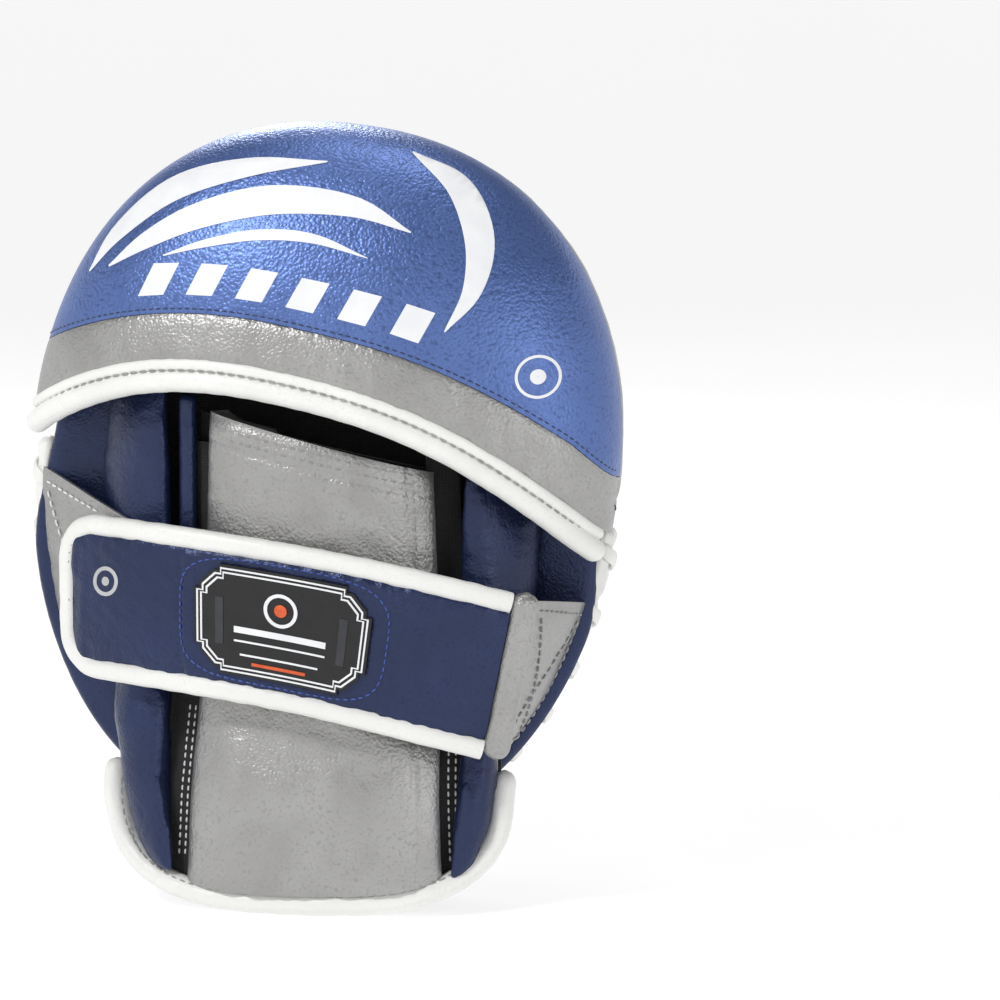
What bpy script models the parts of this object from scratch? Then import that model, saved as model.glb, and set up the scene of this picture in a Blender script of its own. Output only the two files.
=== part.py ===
"""Punch mitt (boxing focus mitt) for one hand: padded strike face, finger hood, hand panel, cuff and strap.

Frame: +Z runs up the hand from the wrist to the fingertips, +Y is the way the strike face looks, and the
back of the hand looks along -Y. The origin is on the ground under the middle of the mitt's box.
Lengths below are in millimetres from the palm's centre line, and an empty carries them to that origin.
"""

import math

import bmesh
import bpy
from mathutils import Vector

MM = 0.001
TO_ORIGIN = (1.7, 21.1, -0.1)  # from the palm's centre line to the middle of the box on the ground
SEAM = 0.4  # gap between two pieces that are sewn together

# The pad: an egg that leans a few degrees, because the knuckles slope towards the little finger
PAD_X = 1.0
PAD_Z = 145.0
PAD_HALF_WIDTH = 98.0
PAD_TOP = 110.0
PAD_BOTTOM = 127.0
PAD_POWER = 2.2
PAD_LEAN = math.radians(8.0)
PAD_STEPS = 48
FACE_INSET = 10.2
OVAL_INSET = 33.0
CHANNEL_HALF = 11.0
BACK_Y = -14.2  # back of the pad's rear cover

# The welt and its lace along the lower rim
WELT_Y = -9.5
WELT_RADIUS = 3.6
LACE_RADIUS = 1.2
LACE_WRAP = 5.5
LACE_TURNS = 20

# The hood: a dome over the fingers
HOOD_BASE_Y = -14.8
HOOD_DEPTH = 49.0
HOOD_FULLNESS = 0.44
MOUTH_HALF = 95.0
MOUTH_SIDE_Z = 130.5
MOUTH_SLOPE = -0.216
MOUTH_ARCH = 35.0
BINDING_RADIUS = 3.5
MOUTH_WELT_RADIUS = 1.2
BAND_WIDTH = 25.0

# The hand panel and the cuff below it
PANEL_Y = -52.0
PANEL_EDGE_Y = -16.0
PANEL_HALF = 73.0
PANEL_POWER = 2.4
CUFF_FLARE = 5.0
CUFF_LIFT = 20.0
PANEL_THICK = 8.0
CUFF_RADIUS = 3.8
CUFF_HALF = 65.0
CUFF_TOP_Z = 45.8
CUFF_POWER = 3.2

# The strap across the hand
STRAP_HALF = 26.5
STRAP_Y = -64.0
STRAP_RIGHT_X = 65.8
STRAP_LEFT_X = -84.0
STRAP_CORNER = 15.0
STRAP_BINDING = 2.9
FOLD_RADIUS = 4.0
BADGE_HALF_WIDTH = 28.5
BADGE_HALF_HEIGHT = 17.5
BADGE_X = -2.6

LOOKS = {
    "blue": ((0.055, 0.11, 0.33), 0.38, 0.55),
    "navy": ((0.022, 0.042, 0.13), 0.5, 0.1),
    "silver": ((0.5, 0.5, 0.49), 0.36, 0.7),
    "white": ((0.82, 0.82, 0.79), 0.45, 0.0),
    "black": ((0.012, 0.012, 0.014), 0.75, 0.0),
    "rubber": ((0.015, 0.015, 0.017), 0.5, 0.0),
    "foam": ((0.16, 0.16, 0.17), 0.9, 0.0),
    "label": ((0.7, 0.7, 0.7), 0.7, 0.0),
}


def clear_scene():
    for item in list(bpy.data.objects):
        bpy.data.objects.remove(item, do_unlink=True)


def finish(item, look):
    """Puts an object in the mitt's collection with a material of its own."""
    colour, roughness, metallic = LOOKS[look]
    material = bpy.data.materials.new(item.name + "_material")
    material.use_nodes = True
    shader = material.node_tree.nodes["Principled BSDF"]
    shader.inputs["Base Color"].default_value = (*colour, 1.0)
    shader.inputs["Roughness"].default_value = roughness
    shader.inputs["Metallic"].default_value = metallic
    item.data.materials.append(material)
    item.parent = mitt_frame
    mitt_collection.objects.link(item)
    return item


def smoothstep(value):
    t = min(1.0, max(0.0, value))
    return t * t * (3.0 - 2.0 * t)


def signed_power(value, power):
    return math.copysign(abs(value) ** power, value)


# ---------------------------------------------------------------- shapes


def slab(name, look, outline, y_back, y_front, rounding=0.0):
    """A flat piece parallel to the strike face, from a closed outline of (x, z) points."""
    curve = bpy.data.curves.new(name, "CURVE")
    curve.dimensions = "2D"
    curve.fill_mode = "BOTH"
    curve.extrude = ((y_front - y_back) / 2 - rounding) * MM
    curve.bevel_depth = rounding * MM
    curve.bevel_resolution = 1
    curve.offset = -rounding * MM
    spline = curve.splines.new("POLY")
    spline.points.add(len(outline) - 1)
    for point, (x, z) in zip(spline.points, outline):
        point.co = (x * MM, z * MM, 0.0, 1.0)
    spline.use_cyclic_u = True
    item = bpy.data.objects.new(name, curve)
    item.rotation_euler.x = math.pi / 2
    item.location.y = (y_front + y_back) / 2 * MM
    return finish(item, look)


def tube(name, look, points, radius, resolution=2):
    """A round roll through points given in mm."""
    curve = bpy.data.curves.new(name, "CURVE")
    curve.dimensions = "3D"
    curve.bevel_depth = radius * MM
    curve.bevel_resolution = resolution
    curve.use_fill_caps = True
    spline = curve.splines.new("POLY")
    spline.points.add(len(points) - 1)
    for point, place in zip(spline.points, points):
        point.co = (*(Vector(place) * MM), 1.0)
    return finish(bpy.data.objects.new(name, curve), look)


def sheet(name, look, place, across, along, thickness):
    """A skin laid on place(u, v), u and v from 0 to 1, thickened towards its inner side."""
    grid = bmesh.new()
    bmesh.ops.create_grid(grid, x_segments=across, y_segments=along, size=0.5)
    for vertex in grid.verts:
        vertex.co = Vector(place(vertex.co.x + 0.5, vertex.co.y + 0.5)) * MM
    mesh = bpy.data.meshes.new(name)
    grid.to_mesh(mesh)
    grid.free()
    mesh.shade_smooth()
    mesh.set_sharp_from_angle(angle=math.radians(50))
    item = bpy.data.objects.new(name, mesh)
    solidify = item.modifiers.new("thickness", "SOLIDIFY")
    solidify.thickness = thickness * MM
    solidify.offset = -1.0
    return finish(item, look)


def loft(name, look, sections):
    """A padded roll through closed sections of (x, y, z) points that change from one end to the other."""
    form = bmesh.new()
    rings = [[form.verts.new(Vector(point) * MM) for point in section] for section in sections]
    for lower, upper in zip(rings, rings[1:]):
        for k in range(len(lower)):
            following = (k + 1) % len(lower)
            form.faces.new((lower[k], lower[following], upper[following], upper[k]))
    form.faces.new(list(reversed(rings[0])))
    form.faces.new(rings[-1])
    bmesh.ops.recalc_face_normals(form, faces=form.faces)
    mesh = bpy.data.meshes.new(name)
    form.to_mesh(mesh)
    form.free()
    mesh.shade_smooth()
    mesh.set_sharp_from_angle(angle=math.radians(50))
    return finish(bpy.data.objects.new(name, mesh), look)


# ---------------------------------------------------------------- guide surfaces


def egg(angle, inset=0.0):
    """(x, z) on the pad's outline, inset mm inside it, at an angle that starts on the right and climbs."""
    height = PAD_TOP if math.sin(angle) >= 0 else PAD_BOTTOM
    across = (PAD_HALF_WIDTH - inset) * signed_power(math.cos(angle), 2 / PAD_POWER)
    along = (height - inset) * signed_power(math.sin(angle), 2 / PAD_POWER)
    x = PAD_X + across * math.cos(PAD_LEAN) + along * math.sin(PAD_LEAN)
    z = PAD_Z - across * math.sin(PAD_LEAN) + along * math.cos(PAD_LEAN)
    return x, z


def arc(start, end, inset, steps):
    """Points (x, z) along the egg between two angles, both ends included."""
    return [egg(start + (end - start) * k / steps, inset) for k in range(steps + 1)]


def mouth_z(x):
    """Lower edge of the hood's mouth."""
    return MOUTH_SIDE_Z + MOUTH_SLOPE * x + MOUTH_ARCH * (1 - abs(x / MOUTH_HALF) ** 2.4)


def line_z(x, above):
    """Height of a line that runs above mm from the mouth's lower edge, measured square to that edge."""
    slope = MOUTH_SLOPE - math.copysign(MOUTH_ARCH * 2.4 / MOUTH_HALF * abs(x / MOUTH_HALF) ** 1.4, x)
    return mouth_z(x) + above * math.hypot(1.0, min(1.0, abs(slope)))


def hood_y(x, z, inset=0.0):
    """Depth of the hood's outer skin, or of a layer that lies inset mm inside it."""
    dx, dz = x - PAD_X, z - PAD_Z
    across = dx * math.cos(PAD_LEAN) - dz * math.sin(PAD_LEAN)
    along = dx * math.sin(PAD_LEAN) + dz * math.cos(PAD_LEAN)
    height = (PAD_TOP if along >= 0 else PAD_BOTTOM) - inset
    level = abs(across / (PAD_HALF_WIDTH - inset)) ** PAD_POWER + abs(along / height) ** PAD_POWER
    return HOOD_BASE_Y - (HOOD_DEPTH - inset) * max(0.0, 1.0 - level) ** HOOD_FULLNESS


def rim_angle(above, inset):
    """Angle on the egg's right side where a line that runs above the mouth meets the hood's rim."""
    low, high = -0.6, 0.6
    for _ in range(40):
        middle = (low + high) / 2
        x, z = egg(middle, inset)
        if z < line_z(x, above):
            low = middle
        else:
            high = middle
    return low


def left_rim_angle(above, inset):
    """The same angle on the egg's left side."""
    low, high = math.pi - 0.6, math.pi + 0.6
    for _ in range(40):
        middle = (low + high) / 2
        x, z = egg(middle, inset)
        if z > line_z(x, above):
            low = middle
        else:
            high = middle
    return high


def hood_line(u, above, inset=0.0):
    """(x, z) along a line that runs above the mouth, from the left rim at u 0 to the right rim at u 1."""
    right = egg(rim_angle(above, inset), inset)[0]
    left = egg(left_rim_angle(above, inset), inset)[0]
    middle, half = (right + left) / 2, (right - left) / 2
    x = middle - half * math.cos(math.pi * u)
    return x, line_z(x, above)


def hood_skin(above, inset):
    """A layer of the hood between a line above its mouth and the rim, as a place for sheet()."""
    start, end = left_rim_angle(above, inset), rim_angle(above, inset)

    def place(u, v):
        low_x, low_z = hood_line(u, above, inset)
        rim_x, rim_z = egg(start + (end - start) * u, inset)
        share = math.sin(v * math.pi / 2)
        x, z = low_x + (rim_x - low_x) * share, low_z + (rim_z - low_z) * share
        return x, hood_y(x, z, inset), z

    return place


def hood_strip(low, high):
    """A strip of the hood between two lines above its mouth."""

    def place(u, v):
        low_x, low_z = hood_line(u, low)
        high_x, high_z = hood_line(u, high)
        x, z = low_x + (high_x - low_x) * v, low_z + (high_z - low_z) * v
        return x, hood_y(x, z), z

    return place


def panel_y(x, z):
    """Depth of the outer side of the hand panel and of the cuff that continues it."""
    free = smoothstep((78.0 - z) / 45.0)
    middle = PANEL_Y - CUFF_FLARE * free
    edge = PANEL_EDGE_Y - CUFF_LIFT * free
    half = PANEL_HALF - 5.0 * free
    return middle + (edge - middle) * min(1.0, abs(x / half)) ** PANEL_POWER


def strap_z(x):
    """Height of the strap's middle line."""
    return 95.0 - 0.16 * x - 0.001 * x * x


def strap_y(x):
    """Depth of the strap's outer side."""
    return STRAP_Y + 30.0 * abs((x - 8.0) / 95.0) ** 2.6


def split_z(x):
    """Line behind the strap where the cuff flexes against the hand panel."""
    return strap_z(x) - 21.5


def cuff_edge(angle):
    """(x, z) of the middle of the cuff's bound edge, from its left end at pi to its right end at 2 pi."""
    x = -1.0 + CUFF_HALF * signed_power(math.cos(angle), 2 / CUFF_POWER)
    drop = (CUFF_TOP_Z - CUFF_RADIUS) * abs(math.sin(angle)) ** (2 / CUFF_POWER)
    return x, CUFF_TOP_Z - drop


def cuff_floor(x):
    """Height of the cuff's bound edge under a point of the panel."""
    reach = min(1.0, abs((x + 1.0) / CUFF_HALF))
    drop = (CUFF_TOP_Z - CUFF_RADIUS) * (1 - reach**CUFF_POWER) ** (1 / CUFF_POWER)
    return CUFF_TOP_Z - drop


# ---------------------------------------------------------------- the pad


def build_strike_face():
    oval_turn = math.asin(CHANNEL_HALF / (PAD_TOP - OVAL_INSET))
    rim_turn = math.asin(CHANNEL_HALF / (PAD_TOP - FACE_INSET))
    seam_turn = SEAM / 60.0
    outline = arc(oval_turn, math.pi - oval_turn, OVAL_INSET, 20)
    outline += arc(math.pi - rim_turn, math.pi + rim_turn, FACE_INSET, 3)
    outline += arc(math.pi + oval_turn, 2 * math.pi - oval_turn, OVAL_INSET, 20)
    outline += arc(2 * math.pi - rim_turn, 2 * math.pi + rim_turn, FACE_INSET, 3)
    slab("face_center_panel", "navy", outline, 17.0, 22.5, 1.5)
    for name, start in (("face_crescent_upper", 0.0), ("face_crescent_lower", math.pi)):
        outer = (start + rim_turn + seam_turn, start + math.pi - rim_turn - seam_turn)
        inner = (start + oval_turn + seam_turn, start + math.pi - oval_turn - seam_turn)
        outline = arc(*outer, FACE_INSET, 22)
        outline += arc(inner[1], inner[0], OVAL_INSET - 2 * SEAM, 18)
        slab(name, "navy", outline, 17.0, 24.0, 2.5)


def build_pad():
    whole = 2 * math.pi * (1 - 1 / PAD_STEPS)
    slab("impact_foam_front", "foam", arc(0, whole, 13.0, PAD_STEPS - 1), 6.0, 16.6)
    slab("impact_foam_middle", "foam", arc(0, whole, 10.0, PAD_STEPS - 1), -6.0, 5.6)
    slab("palm_foam_rear", "foam", arc(0, whole, 10.0, PAD_STEPS - 1), -12.2, -6.4)
    slab("pad_back_cover", "blue", arc(0, whole, 7.6, PAD_STEPS - 1), BACK_Y, -12.6)
    bmesh_dome("palm_grip", "black", (2.0, BACK_Y - 0.3, 103.0), (30.0, 9.0, 17.0))


def bmesh_dome(name, look, base, size):
    """A low dome that stands on the pad's back, towards -Y."""
    form = bmesh.new()
    bmesh.ops.create_uvsphere(form, u_segments=20, v_segments=10, radius=1.0)
    lower = [vertex for vertex in form.verts if vertex.co.z < -0.01]
    bmesh.ops.delete(form, geom=lower, context="VERTS")
    rim = [edge for edge in form.edges if edge.is_boundary]
    bmesh.ops.holes_fill(form, edges=rim)
    for vertex in form.verts:
        x, y, z = vertex.co
        vertex.co = Vector((base[0] + x * size[0], base[1] - z * size[1], base[2] + y * size[2])) * MM
    mesh = bpy.data.meshes.new(name)
    form.to_mesh(mesh)
    form.free()
    mesh.shade_smooth()
    mesh.set_sharp_from_angle(angle=math.radians(50))
    return finish(bpy.data.objects.new(name, mesh), look)


def build_side_bands():
    """Silver sidewalls. The lower one stops short of the laced welt, the upper one runs back to the hood."""
    profiles = {
        "side_band_upper": (((8.4, 18.4), (4.4, 12.0), (2.2, 2.0), (1.8, -6.0), (2.6, -13.2)), 0.0),
        "side_band_lower": (((8.4, 18.4), (5.0, 13.0), (3.4, 8.0), (2.8, 3.0), (3.2, -2.0)), math.pi),
    }
    for name, (profile, start) in profiles.items():

        def place(u, v):
            step = v * (len(profile) - 1)
            k = min(int(step), len(profile) - 2)
            share = step - k
            inset = profile[k][0] + (profile[k + 1][0] - profile[k][0]) * share
            y = profile[k][1] + (profile[k + 1][1] - profile[k][1]) * share
            x, z = egg(start + 0.004 + (math.pi - 0.008) * u, inset)
            return x, y, z

        sheet(name, "silver", place, 28, len(profile) - 1, 1.4)


def build_laced_rim():
    first, last = math.pi + 0.05, 2 * math.pi - 0.05

    def rim_frame(share):
        angle = first + (last - first) * share
        x, z = egg(angle)
        ahead = egg(angle + 0.001)
        tangent = Vector((ahead[0] - x, 0, ahead[1] - z)).normalized()
        outward = Vector((-tangent.z, 0, tangent.x))
        if outward.dot(Vector((x - PAD_X, 0, z - PAD_Z))) < 0:
            outward = -outward
        return Vector((x, WELT_Y, z)), outward

    tube("rim_welt", "white", [rim_frame(k / 30)[0] for k in range(31)], WELT_RADIUS)
    steps = LACE_TURNS * 8
    lace = []
    for k in range(steps + 1):
        centre, outward = rim_frame(0.02 + 0.96 * k / steps)
        turn = 2 * math.pi * LACE_TURNS * k / steps
        lace.append(centre + LACE_WRAP * (outward * math.cos(turn) + Vector((0, math.sin(turn), 0))))
    tube("rim_lace", "white", lace, LACE_RADIUS, resolution=1)


# ---------------------------------------------------------------- the hood


def build_hood():
    binding_top = 2 * BINDING_RADIUS + 2 * MOUTH_WELT_RADIUS + 1.0
    sheet("hood_shell", "blue", hood_skin(BAND_WIDTH + 0.5, 0.0), 24, 9, 1.5)
    sheet("hood_band", "silver", hood_strip(binding_top + 0.4, BAND_WIDTH), 28, 3, 1.5)
    sheet("hood_foam", "foam", hood_skin(binding_top + 0.4, 2.2), 20, 7, 3.0)
    sheet("hood_lining", "black", hood_skin(binding_top + 0.4, 5.8), 20, 7, 1.0)
    rolls = {
        "mouth_binding": (BINDING_RADIUS, BINDING_RADIUS, 3.6),
        "mouth_welt": (2 * BINDING_RADIUS + MOUTH_WELT_RADIUS + 0.5, MOUTH_WELT_RADIUS, 1.0),
    }
    for name, (above, radius, depth) in rolls.items():
        points = []
        for k in range(33):
            x, z = hood_line(0.012 + 0.976 * k / 32, above, 2.0)
            points.append((x, hood_y(x, z, 0.0) + depth, z))
        tube(name, "white", points, radius)


# ---------------------------------------------------------------- hand panel and cuff


def roll_section(edge, inner, half_thick, z, steps=14):
    """An ellipse between the roll's outer edge and its inner edge, seen from above."""
    centre = (Vector(edge) + Vector(inner)) / 2
    along = (Vector(inner) - Vector(edge)) / 2
    across = Vector((-along.y, along.x)).normalized() * half_thick
    points = []
    for k in range(steps):
        angle = 2 * math.pi * k / steps
        place = centre + along * math.cos(angle) + across * math.sin(angle)
        points.append((place.x, place.y, z))
    return points


def build_rolls():
    """Blue padded rolls on both sides of the hand, in an upper part and a part on the cuff."""
    stations = {
        "hand_panel_bolster_left": (
            ((-66, -19), (-46, -37), 5.0, 181),
            ((-72, -17.5), (-44, -44), 6.5, 160),
            ((-73, -17.5), (-43, -45), 7.0, 128),
            ((-72, -18), (-43, -46), 7.0, 96),
            ((-70, -20), (-43, -46), 6.5, 81),
        ),
        "hand_panel_bolster_right": (
            ((68, -19), (54, -36), 5.0, 156),
            ((74, -17.5), (51, -42), 6.5, 138),
            ((74, -17.5), (50, -43), 7.0, 110),
            ((69, -19.5), (51, -44), 6.5, 80),
            ((62, -24), (51, -45), 5.5, 63),
        ),
        "cuff_bolster_left": (
            ((-66, -23.5), (-43, -46), 5.3, 78),
            ((-65, -30), (-43, -49), 6.5, 60),
            ((-60, -37), (-43.5, -50), 6.0, 40),
            ((-55, -41), (-44, -51), 4.5, 21),
        ),
        "cuff_bolster_right": (
            ((61.5, -25), (51, -45), 5.5, 61),
            ((58.5, -34), (51, -46.5), 5.0, 48),
            ((57, -38), (51, -48), 4.5, 34),
            ((55, -41), (50.5, -49), 3.0, 21),
        ),
    }
    for name, rows in stations.items():
        sections = [roll_section(edge, inner, thick, z) for edge, inner, thick, z in reversed(rows)]
        loft(name, "blue", sections)
    points = [(-38.0, panel_y(-38.0, z) + 4.5, z) for z in (166, 150, 134, 118, 102, 88)]
    tube("hand_panel_roll_left", "blue", points, 2.8)


def panel_sheet(name, look, low, high, left, right, depth, thickness, across=10, along=6):
    """A piece of the panel between two lines low(x) and high(x), with edges left(v) and right(v)."""

    def place(u, v):
        x = left(v) + (right(v) - left(v)) * u
        z = low(x) + (high(x) - low(x)) * v
        return x, panel_y(x, z) + depth, z

    return sheet(name, look, place, across, along, thickness)


def build_panel():
    def column_top(x):
        return 154.0 - 0.232 * x

    def split_above(x):
        return split_z(x) + 1.0

    def split_below(x):
        return split_z(x) - 1.0

    def bound_edge(x):
        return cuff_floor(x) + CUFF_RADIUS + 0.4

    def lining_edge(x):
        return cuff_floor(x) + CUFF_RADIUS + 2.0

    def gusset_left(v):
        return -42.0

    def gusset_right(v):
        return 49.0

    panel_sheet("hand_panel_center", "silver", split_above, column_top,
                lambda v: -34.0 + 3.0 * v, lambda v: 44.0 - 2.0 * v, 0.0, PANEL_THICK)
    panel_sheet("hand_panel_lining", "black", split_above, column_top,
                lambda v: -30.0, lambda v: 38.0, PANEL_THICK + 3.4, 1.0)
    panel_sheet("cuff_center", "silver", bound_edge, split_below,
                lambda v: -37.0 + 3.0 * v, lambda v: 46.0 - 2.0 * v, 0.0, PANEL_THICK)
    panel_sheet("cuff_lining", "black", lining_edge, split_below,
                lambda v: -38.0, lambda v: 44.0, PANEL_THICK + 3.4, 1.0)
    for part, low, high in (("hand_panel", split_above, column_top), ("cuff", lining_edge, split_below)):
        panel_sheet(part + "_gusset_left", "black", low, high,
                    gusset_left, lambda v: -28.0, PANEL_THICK + 1.2, 1.2, across=3)
        panel_sheet(part + "_gusset_right", "black", low, high,
                    lambda v: 38.0, gusset_right, PANEL_THICK + 1.2, 1.2, across=3)

    def label_low(x):
        return 18.0

    def label_high(x):
        return 42.0

    panel_sheet("cuff_care_label", "label", label_low, label_high,
                lambda v: 8.0, lambda v: 30.0, PANEL_THICK + 4.8, 0.6, across=4, along=4)
    points = []
    for k in range(37):
        x, z = cuff_edge(math.pi * (1 + k / 36))
        points.append((x, panel_y(x, z) + 4.4, z))
    tube("cuff_binding", "white", points, CUFF_RADIUS)


# ---------------------------------------------------------------- strap and its anchors


def strap_half(x, half, corner, left):
    """Half width of the strap at x: full along it, round at its left end."""
    into = left + corner - x
    if into <= 0:
        return half
    return half - corner + math.sqrt(max(0.0, corner * corner - into * into))


def strap_point(x, across, depth):
    """A point on the strap, across mm above its middle line and depth mm inside its outer side."""
    lean = 0.2 * across * smoothstep((x + 30.0) / 90.0)
    slope = (strap_y(x + 0.5) - strap_y(x - 0.5)) / math.hypot(1.0, strap_y(x + 0.5) - strap_y(x - 0.5))
    square = math.sqrt(1 - slope * slope)
    return x + lean - slope * depth, strap_y(x) + square * depth, strap_z(x) + across


def strap_sheet(name, look, left, right, half, corner, depth, thickness):
    def place(u, v):
        x = left + (right - left) * (1 - math.cos(u * math.pi / 2))
        reach = strap_half(x, half, corner, left)
        return strap_point(x, reach * (2 * v - 1), depth)

    return sheet(name, look, place, 24, 4, thickness)


def build_strap():
    edge = STRAP_HALF - 2 * STRAP_BINDING - 0.4
    inner_left = STRAP_LEFT_X + 2 * STRAP_BINDING + 0.4
    strap_sheet("strap_leather", "blue", inner_left, STRAP_RIGHT_X, edge, 10.0, 0.0, 3.0)
    strap_sheet("strap_lining", "black", inner_left, STRAP_RIGHT_X, edge, 10.0, 3.3, 0.8)
    middle = STRAP_HALF - STRAP_BINDING
    corner = STRAP_CORNER - STRAP_BINDING
    tip = STRAP_LEFT_X + STRAP_BINDING
    path = [(STRAP_RIGHT_X - (STRAP_RIGHT_X - tip - corner) * k / 14, middle) for k in range(14)]
    for k in range(7):
        turn = math.pi / 2 * k / 6
        path.append((tip + corner * (1 - math.sin(turn)), middle - corner * (1 - math.cos(turn))))
    path += [(x, -across) for x, across in reversed(path)]
    points = [strap_point(x, across, 2.2) for x, across in path]
    tube("strap_binding", "white", points, STRAP_BINDING)

    def badge(u, v):
        x = BADGE_X + BADGE_HALF_WIDTH * (2 * u - 1)
        past = max(0.0, abs(x - BADGE_X) - 20.0) / (BADGE_HALF_WIDTH - 20.0)
        reach = BADGE_HALF_HEIGHT - 7.0 * past**0.6
        return strap_point(x, reach * (2 * v - 1), -2.2)

    sheet("strap_badge", "rubber", badge, 14, 4, 1.8)

    def hooks(u, v):
        return strap_point(-74.0 + 32.0 * u, 15.0 * (2 * v - 1), 4.4)

    sheet("strap_hook_patch", "black", hooks, 8, 2, 0.8)


def build_anchors():
    """Silver wings that hold the strap to both sides of the pad."""

    def fold_line(v):
        across = STRAP_HALF * (2 * v - 1)
        x, y, z = strap_point(STRAP_RIGHT_X, across, 3.0)
        return Vector((x + FOLD_RADIUS + 0.9, y, z))

    tube("wing_right_fold", "silver", [fold_line(k / 8) for k in range(9)], FOLD_RADIUS)

    def wing_right(u, v):
        far = egg(-0.72 + 0.48 * v, 3.0)
        rim = Vector((far[0], BACK_Y - 4.2, far[1]))
        fold = fold_line(0.04 + 0.92 * v)
        near = fold + (rim - fold).normalized() * (FOLD_RADIUS + 1.0)
        place = near.lerp(rim, u)
        place.x += 2.0 * math.sin(math.pi * u)
        return place

    sheet("wing_right", "silver", wing_right, 8, 6, 2.0)

    def wing_left(u, v):
        far = egg(math.pi + 0.62 - 0.5 * v, 3.0)
        rim = Vector((far[0], BACK_Y - 4.2, far[1]))
        x = -53.0 - 2.0 * v
        near = Vector((x, -46.6, strap_z(x) + 25.0 * (2 * v - 1)))
        place = rim.lerp(near, u)
        place.y -= 1.2 * math.sin(math.pi * u)
        return place

    sheet("wing_left", "silver", wing_left, 10, 6, 1.5)

    def loops(u, v):
        share = 0.36 + 0.56 * u
        height = 0.14 + 0.72 * v
        place = Vector(wing_left(share, height))
        place.y -= 1.0
        return place

    sheet("wing_left_loop_patch", "black", loops, 8, 4, 0.6)


clear_scene()
mitt_collection = bpy.data.collections.new("punch_mitt")
bpy.context.scene.collection.children.link(mitt_collection)
mitt_frame = bpy.data.objects.new("mitt_frame", None)
mitt_frame.location = Vector(TO_ORIGIN) * MM
mitt_collection.objects.link(mitt_frame)
build_strike_face()
build_pad()
build_side_bands()
build_laced_rim()
build_hood()
build_rolls()
build_panel()
build_strap()
build_anchors()
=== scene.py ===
"""Looks of the punch mitt: leather skins, padded rolls, prints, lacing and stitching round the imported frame.

Shapes are worked out in millimetres from the palm's centre line and carried to the frame's origin by world().
The back of the hand looks along -Y, the strike face along +Y, and +Z runs from the wrist to the fingertips.
"""

import math

import bmesh
import bpy
import numpy as np
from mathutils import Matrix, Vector, noise

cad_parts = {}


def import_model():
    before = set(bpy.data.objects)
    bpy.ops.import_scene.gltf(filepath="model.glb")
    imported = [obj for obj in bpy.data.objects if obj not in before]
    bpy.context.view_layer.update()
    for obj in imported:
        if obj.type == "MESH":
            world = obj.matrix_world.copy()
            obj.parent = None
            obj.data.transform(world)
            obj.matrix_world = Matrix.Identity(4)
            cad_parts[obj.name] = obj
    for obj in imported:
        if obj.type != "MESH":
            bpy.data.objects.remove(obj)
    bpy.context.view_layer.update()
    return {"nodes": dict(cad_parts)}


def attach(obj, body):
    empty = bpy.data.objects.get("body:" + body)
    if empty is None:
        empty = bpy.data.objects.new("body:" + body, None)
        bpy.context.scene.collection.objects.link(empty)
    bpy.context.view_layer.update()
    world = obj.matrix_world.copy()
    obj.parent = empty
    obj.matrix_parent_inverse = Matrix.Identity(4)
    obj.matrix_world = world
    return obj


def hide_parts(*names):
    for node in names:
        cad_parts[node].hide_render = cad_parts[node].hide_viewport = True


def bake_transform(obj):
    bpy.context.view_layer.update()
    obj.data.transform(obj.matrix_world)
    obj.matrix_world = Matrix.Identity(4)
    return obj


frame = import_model()

MM = 0.001
TO_ORIGIN = np.array((1.7, 21.1, -0.1))

# The pad's egg
PAD_X = 1.0
PAD_Z = 145.0
PAD_HALF_WIDTH = 98.0
PAD_TOP = 110.0
PAD_BOTTOM = 127.0
PAD_POWER = 2.2
PAD_LEAN = math.radians(8.0)
FACE_INSET = 10.2
OVAL_INSET = 33.0
CHANNEL_HALF = 11.0
BACK_Y = -14.2
FACE_Y = 22.5
RING_Y = 24.3
SEAM_Y = 21.4

# The lacing
WELT_Y = -7.6
WELT_INSET = 2.6
LACE_TURNS = 20

# The hood
HOOD_BASE_Y = -14.8
HOOD_DEPTH = 49.0
HOOD_FULLNESS = 0.44
MOUTH_HALF = 95.0
MOUTH_SIDE_Z = 130.5
MOUTH_SLOPE = -0.216
MOUTH_ARCH = 35.0
BAND_WIDTH = 25.0
BAND_FOOT = 10.4

# The hand panel, the cuff and the line between them
PANEL_Y = -52.0
PANEL_EDGE_Y = -16.0
PANEL_HALF = 73.0
PANEL_POWER = 2.4
CUFF_FLARE = 5.0
CUFF_LIFT = 20.0
CUFF_RADIUS = 3.8
CUFF_HALF = 65.0
CUFF_TOP_Z = 45.8
CUFF_POWER = 3.2

# The strap
STRAP_HALF = 26.5
STRAP_Y = -64.0
STRAP_RIGHT_X = 65.8
STRAP_LEFT_X = -84.0
STRAP_CORNER = 15.0
STRAP_BINDING = 2.9
WING_TUCK = 0.8  # how far the wings go into the pad's back, in mm
FOLD_RADIUS = 4.0
BADGE_HALF_WIDTH = 28.5
BADGE_HALF_HEIGHT = 17.5
BADGE_X = -2.6

# The camera
VIEW_AZIMUTH = math.radians(10.0)
VIEW_ELEVATION = math.radians(6.5)
VIEW_DISTANCE = 1340.0
VIEW_LENS = 150.0
VIEW_AIM = (56.0, 128.5, 61.0)  # along the view's right, up and back directions, in mm


# ---------------------------------------------------------------- small helpers


def world(points):
    """Design millimetres to the frame's metres."""
    return (np.asarray(points, float) + TO_ORIGIN) * MM


def smoothstep(value):
    t = min(1.0, max(0.0, value))
    return t * t * (3.0 - 2.0 * t)


def signed_power(value, power):
    return math.copysign(abs(value) ** power, value)


def ripple(a, b, scale, seed=0.0):
    """Smooth unevenness between about -1 and 1, with lumps of the given size."""
    return noise.noise(Vector((a / scale + seed, b / scale - seed, seed * 1.7)))


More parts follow.
